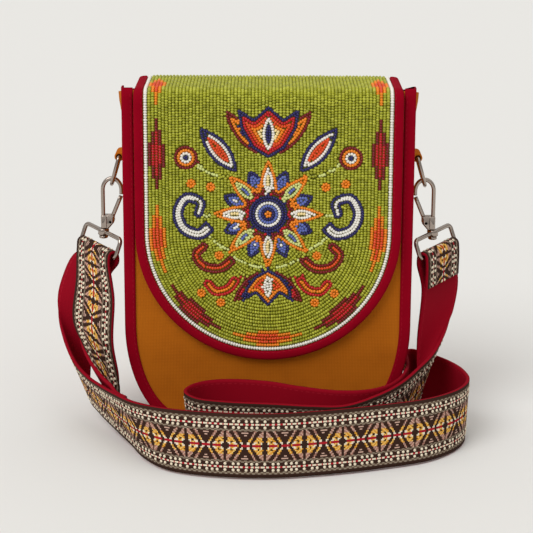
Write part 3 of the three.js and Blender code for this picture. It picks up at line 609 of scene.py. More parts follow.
class Beads:
    """Rows of beads gathered by colour, to be made into one mesh for each piece."""

    def __init__(self):
        self.spots = []

    def add(self, spots, heading, colours):
        for (x, v), (hx, hv), colour in zip(spots, heading, colours):
            self.spots.append((x, v, hx, hv, colour))

    def fill(self, fields):
        """Adds a bead wherever the rows leave room for one, like the bead next to it."""
        tree, ground = KDTree(len(self.spots)), KDTree(len(self.spots))
        for number, (x, v, _, _, colour) in enumerate(self.spots):
            tree.insert((x, v, 0.0), number)
            if colour.startswith("green"):
                ground.insert((x, v, 0.0), number)
        tree.balance()
        ground.balance()
        half = FLAP_HALF - FIELD_INSET - LANE_PITCH
        deep = FLAP_CURVE_UP * half / FLAP_HALF
        holes = []
        for x in np.arange(-half, half, HOLE_STEP):
            for v in np.arange(FLAP_CENTRE - deep, V_TOP, HOLE_STEP):
                if math.hypot(x / half, min(v - FLAP_CENTRE, 0) / deep) < 1:
                    distance = tree.find((x, v, 0.0))[2]
                    if distance > HOLE:
                        holes.append((distance, x, v))
        added = np.full((len(holes) + 1, 2), 1e6)
        count = 0
        for _, x, v in sorted(holes, reverse=True):
            if np.hypot(*(added[: count + 1] - (x, v)).T).min() > HOLE:
                added[count] = x, v
                count += 1
        spots = added[:count]
        within = np.max([field.at(spots) for field in fields], axis=0) > 0
        for (x, v), motif in zip(spots, within):
            number = (tree if motif else ground).find((x, v, 0.0))[1]
            self.spots.append((x, v, *self.spots[number][2:]))

    def build(self, name, wanted, replaced, width=BEAD_WIDTH):
        chosen = [s for s in self.spots if wanted(*s)]
        spots = np.array([s[:4] for s in chosen])
        colours = sorted({s[4] for s in chosen})
        pick = np.array([colours.index(s[4]) for s in chosen])
        places = on_flap(spots[:, :2], spots[:, 2:], BEAD_BASE + rng.normal(0, HEIGHT_SPREAD, len(chosen)))
        template = bead_template(BEAD_LENGTH, width, BEAD_HEIGHT)
        swell = 1 + rng.normal(0, SIZE_SPREAD, len(chosen))[:, None, None]
        picks = np.concatenate([np.repeat(pick, len(faces)) for faces in template[1:]])
        materials = [bead_material[c] for c in colours]
        place_piece(mesh_object(name, *laid(template, *places, swell), materials, picks), replaced)


# Motif outlines in X and V


def leaf(root, tip, width):
    root, tip = np.array(root, float), np.array(tip, float)
    axis = tip - root
    side = np.array([-axis[1], axis[0]]) / np.linalg.norm(axis) * width
    middle = root + 0.45 * axis
    t = np.linspace(0, 1, 20)[:-1, None]
    return np.concatenate([bent(root, middle - side, tip, t), bent(tip, middle + side, root, t)])


def band(points, start_width, end_width):
    path = spline(points, 10)
    ahead = unit(np.gradient(path, axis=0))
    side = np.stack([-ahead[:, 1], ahead[:, 0]], -1)
    width = np.linspace(start_width, end_width, len(path))[:, None] / 2
    cap = []
    for angle in np.linspace(math.pi / 2, -math.pi / 2, 7)[1:-1]:
        cap.append(path[-1] + width[-1] * (math.cos(angle) * ahead[-1] + math.sin(angle) * side[-1]))
    return np.concatenate([path + side * width, np.array(cap), (path - side * width)[::-1]])


def mirror(points):
    return [(-x, v) for x, v in points]


def inside_distance(polygon, points):
    start = polygon
    end = np.roll(polygon, -1, axis=0)
    best = np.full(len(points), 1e9)
    odd = np.zeros(len(points), bool)
    for (ax, av), (bx, bv) in zip(start, end):
        ex, ev = bx - ax, bv - av
        wx, wv = points[:, 0] - ax, points[:, 1] - av
        t = np.clip((wx * ex + wv * ev) / max(ex * ex + ev * ev, 1e-12), 0, 1)
        best = np.minimum(best, (wx - t * ex) ** 2 + (wv - t * ev) ** 2)
        if av != bv:
            crosses = (av > points[:, 1]) != (bv > points[:, 1])
            odd ^= crosses & (points[:, 0] < ax + (points[:, 1] - av) * ex / ev)
    return np.where(odd, 1, -1) * np.sqrt(best)


class Field:
    """One motif: the union of its outlines and its row colours from the edge inwards."""

    STEP = 0.4
    ROW = 1.9
    FIRST_ROW = 0.9
    LEAST_ROOM = 0.6

    def __init__(self, outlines, rows):
        self.outlines = outlines
        self.rows = rows
        corners = np.concatenate(outlines)
        self.low = corners.min(0) - 3
        self.high = corners.max(0) + 3

    def at(self, points):
        points = np.asarray(points, float)
        value = np.full(len(points), -9.0)
        near = np.all((points > self.low) & (points < self.high), axis=1)
        if near.any():
            value[near] = np.max([inside_distance(o, points[near]) for o in self.outlines], axis=0)
        return value

    def contours(self):
        xs = np.arange(self.low[0], self.high[0], self.STEP)
        vs = np.arange(self.low[1], self.high[1], self.STEP)
        gx, gv = np.meshgrid(xs, vs, indexing="ij")
        value = self.at(np.stack([gx.ravel(), gv.ravel()], -1)).reshape(gx.shape)
        row = 0
        while row * self.ROW + self.LEAST_ROOM < value.max():
            for line in level_lines(value, xs, vs, row * self.ROW + self.FIRST_ROW):
                yield row, line
            row += 1


CELL_EDGES = np.array([(0, 0, 1, 0), (1, 0, 1, 1), (0, 1, 1, 1), (0, 0, 0, 1)])


def level_lines(value, xs, vs, level):
    """Lines of one level over a grid of values, joined up from cell to cell."""
    above = value > level
    mixed = above[:-1, :-1].astype(int) + above[1:, :-1] + above[1:, 1:] + above[:-1, 1:]
    spots, links = {}, {}
    for i, j in np.argwhere((mixed > 0) & (mixed < 4)):
        edges = []
        for key in map(tuple, CELL_EDGES + (i, j, i, j)):
            a, b, c, d = key
            if above[a, b] != above[c, d]:
                t = (level - value[a, b]) / (value[c, d] - value[a, b])
                spots[key] = (xs[a] + t * (xs[c] - xs[a]), vs[b] + t * (vs[d] - vs[b]))
                edges.append(key)
        for a, b in zip(edges[::2], edges[1::2]):
            links.setdefault(a, []).append(b)
            links.setdefault(b, []).append(a)
    lines = []
    unused = dict.fromkeys(links)
    while unused:
        start = next(iter(unused))
        line = [start]
        unused.pop(start)
        while True:
            onward = [n for n in links[line[-1]] if n in unused]
            if not onward:
                break
            line.append(onward[0])
            unused.pop(onward[0])
        if len(line) > 3:
            lines.append(np.array([spots[k] for k in line]))
    return lines


def band_pair(points, start_width, end_width):
    return [band(path, start_width, end_width) for path in (points, mirror(points))]


def leaf_pair(root, tip, width):
    return [leaf(*ends, width) for ends in ((root, tip), mirror((root, tip)))]


def circle(x, v, radius):
    turn = np.linspace(0, 2 * math.pi, 40, endpoint=False)
    return np.stack([x + radius * np.cos(turn), v + radius * np.sin(turn)], -1)


def star(x, v, hub, tip, petals):
    degrees = np.arange(0, 360, 3)
    spread = 180 / petals
    away = np.abs(np.mod(degrees + spread, 2 * spread) - spread)
    reach = hub + (tip - hub) * (1 - away / spread) ** 1.3
    turn = np.radians(degrees)
    return np.stack([x + reach * np.cos(turn), v + reach * np.sin(turn)], -1)


def tulip(foot, side):
    return np.array([(0, foot)] + side + mirror(side)[::-1][1:], float)


def flower_fields():
    heart = (0.0, 139.0)

    def rays(start, step, inner, outer, width):
        found = []
        for angle in np.radians(np.arange(start, 360, step)):
            way = np.array([math.cos(angle), math.sin(angle)])
            found.append(leaf(heart + inner * way, heart + outer * way, width))
        return found

    bud = tulip(173.7, [(10, 180), (17, 192), (19, 205), (9, 198), (0, 206)])
    cup = tulip(104.4, [(8, 100), (14, 92), (15.5, 83), (7.5, 88.5), (0, 80)])
    scroll = [(-35, 132), (-42, 126.5), (-51.5, 130), (-55, 140), (-50, 149), (-41.5, 146.5), (-42.5, 139.5)]
    tendril = [(-21, 111), (-29, 105), (-39, 106), (-44, 113), (-39.5, 118.5)]
    low_tendril = [(-19, 99), (-24, 92), (-32, 90), (-37, 95)]
    flames = leaf_pair((-19, 165), (-42, 193), 13)
    flame_hearts = leaf_pair((-23, 170), (-38, 188), 5)
    bud_sides = leaf_pair((-4, 175), (-27, 204), 10)
    cup_sides = leaf_pair((-3, 104), (-22, 82), 8)
    stems = [
        [(-20, 163), (-31, 163), (-40, 167), (-44, 172)],
        [(-33, 139), (-38, 138), (-43, 140)],
        [(-24, 116), (-33, 122), (-38, 128)],
        [(-4, 105), (-11, 107), (-20, 111)],
        [(-13, 99), (-19, 99)],
    ]
    berries = [(-35, 156), (-47, 158), (-30, 113), (-41, 89), (-29, 83)]
    dots = [circle(x * side, v, 2.9) for x, v in berries for side in (-1, 1)]
    lines = [outline for stem in stems for outline in band_pair(stem, 1.9, 1.9)]
    return [
        Field([circle(*heart, 11.8)], ["navy", "navy", "white", "blue", "navy", "orange"]),
        Field(rays(0, 90, 12.5, 29, 6.4), ["white", "yellow"]),
        Field(rays(45, 90, 12.5, 29, 6.4), ["pale", "blue"]),
        Field([star(*heart, 15.5, 35, 8)], ["orange", "maroon", "red"]),
        Field(rays(22.5, 45, 13, 30, 9.5), ["navy", "blue", "white"]),
        Field([leaf((0, 178), (0, 200), 7.5)], ["white", "navy", "blue"]),
        Field([bud], ["navy", "red", "flame", "orange", "yellow"]),
        Field(bud_sides, ["maroon", "orange", "yellow"]),
        Field([leaf((0, 101), (0, 85), 5.6)], ["white", "blue"]),
        Field([cup], ["navy", "orange", "flame", "flame"]),
        Field(cup_sides, ["maroon", "red", "flame"]),
        Field(band_pair(scroll, 8.0, 6.0), ["navy", "white", "blue"]),
        Field(flame_hearts, ["flame", "red"]),
        Field(flames, ["navy", "white", "orange", "flame"]),
        Field(band_pair(tendril, 6.2, 5.9), ["maroon", "flame"]),
        Field(band_pair(low_tendril, 6.2, 5.9), ["red", "orange"]),
        Field([circle(-50, 174, 7.4), circle(50, 174, 7.4)], ["maroon", "orange", "white", "navy"]),
        Field(dots, ["orange", "yellow"]),
        Field(lines, ["pale"]),
    ]


# Lozenges lie in the outer lanes, spaced along them from the flap's foot

LOZENGE_SPACING = 52.6
LOZENGE_HALF = 22.0
LOZENGE_LANE = 2
LOZENGE_STEPS = 3
LOZENGE_CORE = 0.62
LAST_LOZENGE = 4
LANE_REACH = 69.4


def lozenge_colour(index, x, v):
    """The lozenge colours in one lane, or nothing where the ground shows."""
    found = np.full(len(x), "", dtype=object)
    step = abs(index - LOZENGE_LANE) / LOZENGE_STEPS
    if step >= 1:
        return found
    along_arc = np.abs(np.arctan2(x, FLAP_CENTRE - v)) * LANE_REACH
    along_limb = math.pi / 2 * LANE_REACH + v - FLAP_CENTRE
    reach = np.where(v < FLAP_CENTRE, along_arc, along_limb)
    number = np.round(reach / LOZENGE_SPACING).astype(int)
    along = np.abs(reach - number * LOZENGE_SPACING) / LOZENGE_HALF
    warm = number % 2 == 0
    for limit, warm_colour, deep_colour in (
        (1 - step, "orange", "maroon"),
        (LOZENGE_CORE - step, "flame", "red"),
    ):
        found[(along < limit) & warm] = warm_colour
        found[(along < limit) & ~warm] = deep_colour
    found[number > LAST_LOZENGE] = ""
    return found


def add_beads():
    beads = Beads()
    fields = flower_fields()
    edge, heading = resampled(lane(EDGE_LANE), BEAD_PITCH)
    beads.add(edge, heading, ["edging"] * len(edge))
    greens = np.array(["green_a", "green_b", "green_c"], dtype=object)
    for index in range(LANE_COUNT):
        inset = FIELD_INSET + (index + 0.5) * LANE_PITCH
        spots, heading = resampled(lane(inset), BEAD_PITCH, phase=rng.uniform(0.2, 0.8))
        spots = spots + heading * rng.normal(0, LANE_SPREAD, len(spots))[:, None]
        clear = np.ones(len(spots), bool)
        for field in fields:
            clear &= field.at(spots) < -GROUND_ROOM
        colours = greens[rng.choice(len(greens), len(spots), p=GREEN_SHARES)]
        lozenge = lozenge_colour(index, spots[:, 0], spots[:, 1])
        colours = np.where(lozenge != "", lozenge, colours)
        beads.add(spots[clear], heading[clear], colours[clear])
    for order, field in enumerate(fields):
        placed = []
        for row, line in field.contours():
            spots, heading = resampled(line, BEAD_PITCH, closed=True)
            clear = np.ones(len(spots), bool)
            for above in fields[:order]:
                clear &= above.at(spots) < -MOTIF_ROOM
            for number in np.flatnonzero(clear):
                if any(np.hypot(*(spots[number] - other)) < BEAD_ROOM for other in placed):
                    clear[number] = False
                else:
                    placed.append(spots[number])
            colour = field.rows[min(row, len(field.rows) - 1)]
            beads.add(spots[clear], heading[clear], [colour] * int(clear.sum()))
    beads.fill(fields)
    pieces = {
        "red": ("red maroon flame", "bud star_petals", "upper_lozenge lower_lozenge tendril"),
        "orange": ("orange yellow", "foot_lozenge flower_cup", "top_lozenge side_lozenge flame low_tendril"),
        "blue": ("navy blue", "flower_core", "scroll"),
        "white": ("white pale", "", ""),
    }
    for name, (colours, single, paired) in pieces.items():
        replaced = single.split()
        for side in ("left", "right"):
            replaced += [f"{side}_{node}" for node in paired.split()]
        wanted = lambda *spot, colours=colours.split(): spot[4] in colours
        beads.build(f"beads_{name}", wanted, replaced)
    wanted = lambda *spot: spot[4] == "edging"
    beads.build("beads_edging", wanted, ["white_edging"], EDGING_WIDTH)
    for part, replaced, held in (
        ("left", ["bead_field"], lambda x, v: v < V_FRONT and x < 0),
        ("right", [], lambda x, v: v < V_FRONT and x >= 0),
        ("rear", [], lambda x, v: v >= V_FRONT),
    ):
        wanted = lambda *spot, held=held: spot[4].startswith("green") and held(*spot[:2])
        beads.build(f"beads_green_{part}", wanted, replaced)


# Seam stitches along the bindings

STITCH_PITCH = 3.4
STITCH = (2.1, 0.5, 0.24)
FLAP_SEAM = 4.9
FLAP_SEAM_LIFT = 3.24
PANEL_STITCHES = 5.6
PANEL_STITCHES_DROP = 3.0
STITCH_SINK = 0.04


def add_stitches():
    seams = [("flap_stitches", on_flap(*resampled(lane(FLAP_SEAM), STITCH_PITCH), FLAP_SEAM_LIFT))]
    for face, side, top in FACES:
        outline = bag_outline(top - PANEL_STITCHES_DROP)
        path = outline[:, :2] + PANEL_STITCHES * outline[:, 2:]
        spots, heading = resampled(path, STITCH_PITCH)
        place = np.insert(spots, 1, side * (BINDING_FRONT - STITCH_SINK), axis=1)
        along = np.insert(heading, 1, 0.0, axis=1)
        seams.append((f"{face}_stitches", (place, along, np.tile([0.0, side, 0.0], (len(spots), 1)))))
    for name, places in seams:
        obj = mesh_object(name, *laid(bead_template(*STITCH), *places), [thread])
        place_piece(obj)


# Metal fittings, drawn for the left side and mirrored

BAR_X = -92.2
BAR_Z = 170.0
D_WIRE = 1.2
D_HALF = 10.7
D_BOW = -8.9
D_TILT = math.radians(16)
D_DROP = 19.6
BOW_X = BAR_X - D_DROP * math.sin(D_TILT)
BOW_Z = BAR_Z - D_DROP * math.cos(D_TILT)
HOOK_WIRE = 2.6
HOOK_DEPTH = 3.4
HOOK_BASE_DEPTH = 6.0
HOOK_HALF = 5.8
HOOK_RISE = 7.2
HOOK_TOP = BOW_Z + D_WIRE + 1.0 + HOOK_WIRE / 2
SPRING_Z = HOOK_TOP - HOOK_RISE
BASE_Z = SPRING_Z - 24.5
BASE_HEIGHT = 8.5
SPINE_X = BOW_X - HOOK_HALF
NOSE_X = BOW_X + HOOK_HALF
NOSE_END = SPRING_Z - HOOK_WIRE
PIVOT = (SPINE_X + 4.5, BASE_Z + BASE_HEIGHT / 2)
COLLAR_TOP = BASE_Z - 0.3
COLLAR_HEIGHT = 4.0
COLLAR_RADIUS = 3.5
COLLAR_BORE = 1.9
CHEEK_GAP = 1.3
RING_WIRE = 1.4
RING_HALF = 21.1
RING_UP = 12.3
RING_CORNER = 3.2
RING_TURN = math.radians(54)
RING_LEAN = math.radians(20)
RING_DIP = math.radians(3.4)

turn_cos, turn_sin = math.cos(RING_TURN), math.sin(RING_TURN)
BAR_WAY = np.array([turn_cos * math.cos(RING_DIP), -turn_sin * math.cos(RING_DIP), -math.sin(RING_DIP)])
NEAR_SIDE = np.array([-turn_sin, -turn_cos, 0.0])
ring_lift = np.array([0, 0, math.cos(RING_LEAN)]) - NEAR_SIDE * math.sin(RING_LEAN)
RING_NORMAL = unit(np.cross(BAR_WAY, ring_lift))
RING_RISE = np.cross(RING_NORMAL, BAR_WAY)
RING_TOP = np.array([SPINE_X, 0.0, COLLAR_TOP - COLLAR_HEIGHT / 2])
RING_FOOT = RING_TOP - RING_RISE * RING_UP


def tube(path, sideways, radius_a, radius_b, power=1.0, closed=False):
    path = np.asarray(path, float)
    if closed:
        along = unit(np.roll(path, -1, axis=0) - np.roll(path, 1, axis=0))
    else:
        along = unit(np.gradient(path, axis=0))
    sideways = np.asarray(sideways, float)
    across = unit(np.cross(along, sideways))
    wide, deep = squared_circle(16, power)[:, None, :, None]
    return path[:, None] + radius_a * wide * across[:, None] + radius_b * deep * sideways


def lathe(axis_x, profile):
    turned, raised = squared_circle(24, 1.0)
    return np.array([np.stack([axis_x + r * turned, r * raised, 0 * turned + z], -1) for r, z in profile])


def slab(corners, y0, y1, edge=0.5):
    outline = rounded(corners, [edge * 1.6] * len(corners))
    middle = outline.mean(0)
    reach = np.abs(outline - middle).max(0)
    rows = []
    for y, shrink in ((y0, edge), (y0 + edge, 0), (y1 - edge, 0), (y1, edge)):
        scaled = middle + (outline - middle) * (1 - shrink / reach)
        rows.append(np.insert(scaled, 1, y, axis=1))
    return np.array(rows)


def d_ring_forms():
    bow = np.linspace(math.pi, 2 * math.pi, 28)
    local = [(D_HALF - 1.5, 0.0), (0.0, 0.0), (-D_HALF + 1.5, 0.0), (-D_HALF + 0.4, -0.45), (-D_HALF, -1.6)]
    local += [(D_HALF * math.cos(a), D_BOW + D_HALF * math.sin(a)) for a in bow]
    local += [(D_HALF, -1.6), (D_HALF - 0.4, -0.45)]
    path = [(BAR_X + w * math.sin(D_TILT), y, BAR_Z + w * math.cos(D_TILT)) for y, w in local]
    normal = np.array([math.cos(D_TILT), 0, -math.sin(D_TILT)])
    return [tube(path, normal, D_WIRE, D_WIRE, closed=True)]


def hook_forms():
    sweep = np.linspace(math.pi, 0, 28)
    path = [(SPINE_X, 0, z) for z in np.linspace(BASE_Z + HOOK_WIRE, SPRING_Z, 6, endpoint=False)]
    path += [(BOW_X + HOOK_HALF * math.cos(a), 0, SPRING_Z + HOOK_RISE * math.sin(a)) for a in sweep]
    path += [(NOSE_X, 0, SPRING_Z - 1.4), (NOSE_X, 0, NOSE_END)]
    left, foot, right = SPINE_X - HOOK_WIRE / 2, SPINE_X + 3.5, PIVOT[0] + HOOK_WIRE
    slot = PIVOT[0] - HOOK_WIRE / 2 - 0.3
    half = HOOK_BASE_DEPTH / 2
    top = BASE_Z + BASE_HEIGHT
    core = [(left, BASE_Z), (slot, BASE_Z), (slot, top), (left, top)]
    cheek = [(slot - 1, BASE_Z), (foot, BASE_Z), (right, PIVOT[1]), (right, top), (slot - 1, top)]
    head = COLLAR_TOP - COLLAR_HEIGHT - 0.3
    swivel = [(1.6, BASE_Z + 1), (1.6, head), (2.4, head)]
    swivel += [(2.8, head - 0.4), (2.8, head - 1.5), (2.1, head - 2)]
    return [
        tube(path, (0, 1, 0), HOOK_WIRE / 2, HOOK_DEPTH / 2, power=0.75),
        slab(core, -half, half),
        slab(cheek, -half, -CHEEK_GAP, 0.35),
        slab(cheek, CHEEK_GAP, half, 0.35),
        lathe(SPINE_X, swivel),
    ]


def gate_forms():
    root = np.array([PIVOT[0], 0, PIVOT[1]])
    tip = np.array([NOSE_X - 0.3, 0, NOSE_END - 1.4])
    along = unit(tip - root)
    path = [root + along * s for s in (-1.3, -1.0, -0.3, 0.6)]
    path += [root + (tip - root) * t for t in np.linspace(0.2, 1, 6)]
    sections = tube(path, (0, 1, 0), 1.3, 1.0, power=0.7)
    middle = sections.mean(1, keepdims=True)
    for row, size in enumerate((0.5, 0.8)):
        sections[row] = middle[row] + (sections[row] - middle[row]) * size
    return [sections]


def strap_ring_forms():
    turns = np.linspace(0, math.pi / 2, 7)
    reach, high, low = RING_HALF - RING_CORNER, -RING_CORNER, RING_CORNER - RING_UP
    path = []
    for number, (cx, cy) in enumerate(((reach, high), (-reach, high), (-reach, low), (reach, low))):
        for t in turns + number * math.pi / 2:
            u, w = cx + RING_CORNER * math.cos(t), cy + RING_CORNER * math.sin(t)
            path.append(RING_TOP + BAR_WAY * u + RING_RISE * w)
    foot, r = COLLAR_TOP - COLLAR_HEIGHT, COLLAR_RADIUS
    collar = [(COLLAR_BORE, foot), (r - 0.4, foot), (r, foot + 0.4)]
    collar += [(r, COLLAR_TOP - 0.4), (r - 0.4, COLLAR_TOP), (COLLAR_BORE, COLLAR_TOP)]
    return [tube(path, RING_NORMAL, RING_WIRE, RING_WIRE, closed=True), lathe(SPINE_X, collar)]


def add_hardware():
    for hand, side in (("left", -1), ("right", 1)):
        for part, make, forms, closed in (
            ("d_ring", "wire", d_ring_forms(), True),
            ("hook", "cast", hook_forms(), False),
            ("gate", "lever", gate_forms(), False),
            ("strap_ring", "wire", strap_ring_forms(), True),
        ):
            name = f"{hand}_{part}"
            obj = solid(f"{name}_{make}", forms, metal, closed, side)
            place_piece(obj, [name], body="bag" if part == "strap_ring" else name)


# Strap: stations of its upper or outer edge and the way across to its other edge

DOUBLED_END = [
    (-84.8, -81.2, 38.6, 0.21, 0.18, -0.95),
    (-90.8, -73.8, 38.8, 0.22, 0.29, -0.93),
    (-95.6, -61.6, 39.6, 0.26, 0.33, -0.9),
    (-101.9, -50, 41, 0.32, 0.32, -0.88),
    (-110.5, -37, 47.1, 0.45, 0.1, -0.87),
    (-117.6, -22.5, 56.4, 0.66, -0.22, -0.72),
    (-122.6, -9.5, 69, 0.7, -0.62, -0.36),
    (-121, 1, 88, 0.67, -0.74, -0.09),
]
LONG_RUN = [
    (-124, 16.5, 100.5, 0.66, -0.74, -0.14),
    (-131.3, 14, 86, 0.66, -0.6, -0.46),
    (-133.8, 4, 69, 0.56, -0.16, -0.81),
    (-129.3, -9, 54.5, 0.38, 0.24, -0.89),
    (-121.3, -26.5, 43.6, 0.22, 0.48, -0.85),
    (-111.5, -43, 38.8, 0.14, 0.56, -0.81),
    (-101.3, -59.5, 38, 0.15, 0.48, -0.86),
    (-91.5, -75.5, 38.6, 0.22, 0.28, -0.93),
    (-79.8, -90, 38.6, 0.2, 0.08, -0.97),
    (-62, -100, 38.4, 0.1, -0.06, -0.99),
    (-36, -106.5, 38.3, 0, -0.12, -0.99),
    (0, -109.5, 38.3, 0, -0.13, -0.99),
    (35, -103, 38.3, 0, -0.15, -0.99),
    (68.6, -92.5, 38.3, 0, -0.15, -0.99),
    (96.5, -81, 38.4, 0, -0.12, -0.99),
    (115.5, -64, 38.4, -0.02, -0.06, -0.99),
    (123.5, -45.7, 38.4, -0.04, 0, -0.99),
    (122, -26.1, 38.4, -0.06, 0.02, -0.99),
    (116, -10.5, 38.4, -0.05, -0.06, -0.99),
    (106, 4.5, 38.4, -0.03, -0.12, -0.99),
    (97.5, 12.5, 38.4, 0, -0.08, -0.99),
    (93, 15.5, 38.4, 0, 0, -0.99),
    (89.4, 11, 38.4, 0, 0, -0.99),
    (89.2, -3, 38.4, 0, 0, -0.99),
    (88.2, -19, 38.4, -0.02, 0, -0.99),
    (83, -40, 38.4, -0.02, 0.04, -0.99),
    (73.5, -57, 38.4, 0, 0.06, -0.99),
    (60, -66.5, 38.4, 0, 0.08, -0.99),
    (42, -68, 38.4, 0, 0.06, -0.99),
    (18.4, -60, 38.4, 0, 0, -0.99),
    (0, -51, 38.4, 0, -0.04, -0.99),
    (-24.4, -47.4, 38.4, 0, -0.04, -0.99),
    (-38.5, -51, 38.4, 0.05, -0.05, -0.99),
    (-47, -60, 38.4, 0.08, 0, -0.99),
    (-49.5, -71, 38.4, 0.08, 0.05, -0.99),
    (-42, -82.5, 38.3, 0.04, 0.08, -0.99),
    (-25, -87.5, 38, 0, 0.14, -0.98),
    (5, -89.5, 37.4, 0, 0.22, -0.97),
    (26, -91.5, 37, 0, 0.26, -0.96),
    (46, -90, 36.8, 0, 0.28, -0.96),
    (66.2, -80, 40.1, -0.02, 0.22, -0.97),
    (80.6, -66, 42.9, -0.05, 0.16, -0.98),
    (92.2, -49, 46.5, -0.14, 0.1, -0.98),
    (102.5, -32, 50.6, -0.27, -0.06, -0.96),
    (111.6, -14, 59.4, -0.46, -0.3, -0.84),
    (118.6, 4, 71.8, -0.64, -0.6, -0.48),
    (121, 16, 89.5, -0.63, -0.77, -0.08),
]
FOLD_RADIUS = 3.3
TAIL_LENGTH = 19.0


def station_edges(rows):
    rows = np.array(rows, float)
    across = unit(rows[:, 3:])
    top = rows[:, :3] + np.array([0, 0, STRAP_LIFT])
    return top, top + across * STRAP_WIDTH


def fold_edges(side):
    flip = np.array([-side, 1, 1])
    across, near, foot = BAR_WAY * flip, NEAR_SIDE * flip, RING_FOOT * flip
    middles = []
    for degrees in (0, 45, 90, 135, 180):
        a = math.radians(degrees)
        lift = FOLD_RADIUS * math.sin(a) if degrees % 180 else -FOLD_RADIUS
        middles.append(foot + near * FOLD_RADIUS * math.cos(a) + np.array([0, 0, lift]))
    middles = np.array(middles)
    return middles - across * STRAP_WIDTH / 2, middles + across * STRAP_WIDTH / 2


STRAP_TONES = {
    "umber": (56, 36, 28),
    "bark": (92, 72, 58),
    "ash": (150, 136, 118),
    "cream": (236, 222, 196),
    "gold": (214, 150, 52),
    "honey": (238, 200, 118),
    "rose": (164, 118, 102),
    "blush": (204, 168, 150),
    "scarlet": (168, 30, 42),
    "backing": (142, 2, 26),
    "stitch": (160, 22, 40),
}
strap_names = list(STRAP_TONES)
REPEAT = 23.1
DOT_PLACES = REPEAT / 2 + np.array([0, 4.8, 7.8, 12.3, 15.5, 18.5])
DOT_ROWS = np.array([-14.5, -10.8, 10.8, 14.5])
DOT_RINGS = ((1.0, -0.1), (0.85, 0.22), (0.4, 0.4))
DOT_SIZE = 0.98
DOT_SIDES = 8
DOT_MARGIN = 2.0
DASH = 3.06
WEAVE_ROW = 0.8
MOTIF_HALF = 8.7
MOTIF_EDGES = np.linspace(0, MOTIF_HALF, 13)
BORDER_EDGES = [9.3, 9.9, 10.5, 11.1, 11.7, 12.2, 13.2, 13.6, 14.2, 14.8, 15.4, 16.15, 16.9, 19.0]
SPECKLES = ((MOTIF_HALF, 9.9), (15.4, 16.9))
SPECKLE = 0.68
SEAM = (12.2, 13.2)
SEAM_STITCH = 1.1
RED_SEAM = 16.6
RED_SEAM_HALF = 0.3
RED_STITCH_PITCH = 3.6
RED_STITCH = 2.2
GOLD_HALF = 5.0
TWILL = 0.725
ARM_FOOT = 1.7
ARM_SLOPE = 1.67
ARM_HALF = 1.15
KITE_REACH = 7.9
KITE_SLOPE = 0.72
EYE_SIZE = 0.75


def strap_colours(u, v):
    """Numbers of the weave's colours at U along and V across the strap, from its middle."""
    away = np.abs(v)
    number = np.full(u.shape, strap_names.index("umber"))

    def paint(where, colour):
        number[where] = strap_names.index(colour)

    def between(values, low, high):
        return (values > low) & (values < high)

    checks = (np.floor(u / (2 * WEAVE_ROW)) + np.floor(away / SPECKLE)) % 2 == 0
    for limits in SPECKLES:
        paint(between(away, *limits) & checks, "ash")
        paint(between(away, *limits) & ~checks, "bark")
    paint(between(away, *SEAM), "cream")
    paint(between(away, *SEAM) & (np.mod(u, DASH) < SEAM_STITCH), "scarlet")
    inner = away < MOTIF_HALF
    across = np.abs(np.mod(u + REPEAT / 2, REPEAT) - REPEAT / 2)
    gap = REPEAT / 2 - across
    lean = away + ARM_FOOT - ARM_SLOPE * across
    light = (np.floor(u / WEAVE_ROW) + np.floor(away / TWILL)) % 3 == 0

    def thread(where):
        near = away < GOLD_HALF
        paint(where & near & light, "honey")
        paint(where & near & ~light, "gold")
        paint(where & ~near & light, "blush")
        paint(where & ~near & ~light, "rose")

    # Leaning arms, then small bars in the gaps between them
    arm = inner & (np.abs(lean) < ARM_HALF)
    thread(arm)
    paint(arm & between(away, 0.8, 2.4), "cream")
    cap = inner & (lean > 3.0) & (across < 1.8)
    paint(cap & (between(away, 5.7, 6.4) & (across < 0.8) | between(away, 7.2, 8.0)), "blush")
    # Kites beside a dark column, each with an eye and pale tips
    column = np.maximum(2.9 - 0.9 * away, 1.7 - 0.5 * np.abs(away - 4.0))
    far = KITE_REACH - KITE_SLOPE * away
    kite = inner & (gap < far) & (gap > np.maximum(column, 0.7))
    thread(kite)
    paint(kite & (np.hypot(gap - 3.7, away - 2.4) < EYE_SIZE), "umber")
    paint(kite & between(away, 0.7, 2.2) & ((gap < 2.7) | (gap > far - 1.7)), "cream")
    paint((away < 0.75) & (between(gap, 2.4, 7.4) | (across < 2.4)), "scarlet")
    return number


def strap_line():
    left, right = fold_edges(-1), fold_edges(1)
    right = [edge[::-1] for edge in right]
    tail = [edge[-1:] for edge in right]
    drop = RING_FOOT[2] - TAIL_LENGTH - (tail[0][0, 2] + tail[1][0, 2]) / 2
    tail = [edge + np.array([0, 0, drop]) for edge in tail]
    first, run = station_edges(DOUBLED_END), station_edges(LONG_RUN)
    edges = [np.concatenate([first[k], left[k], run[k], right[k], tail[k]]) for k in (0, 1)]
    upper, lower = (spline(edge, 16, 0.5) for edge in edges)
    middle = (upper + lower) / 2
    across = unit(lower - upper)
    reach = reach_along(middle)
    at = np.linspace(0, reach[-1], int(reach[-1] / WEAVE_ROW) + 1)
    middle = interpolated(at, reach, middle)
    across = unit(interpolated(at, reach, across))
    along = unit(np.gradient(middle, axis=0))
    normal = unit(np.cross(along, across))
    return at, middle, across, normal


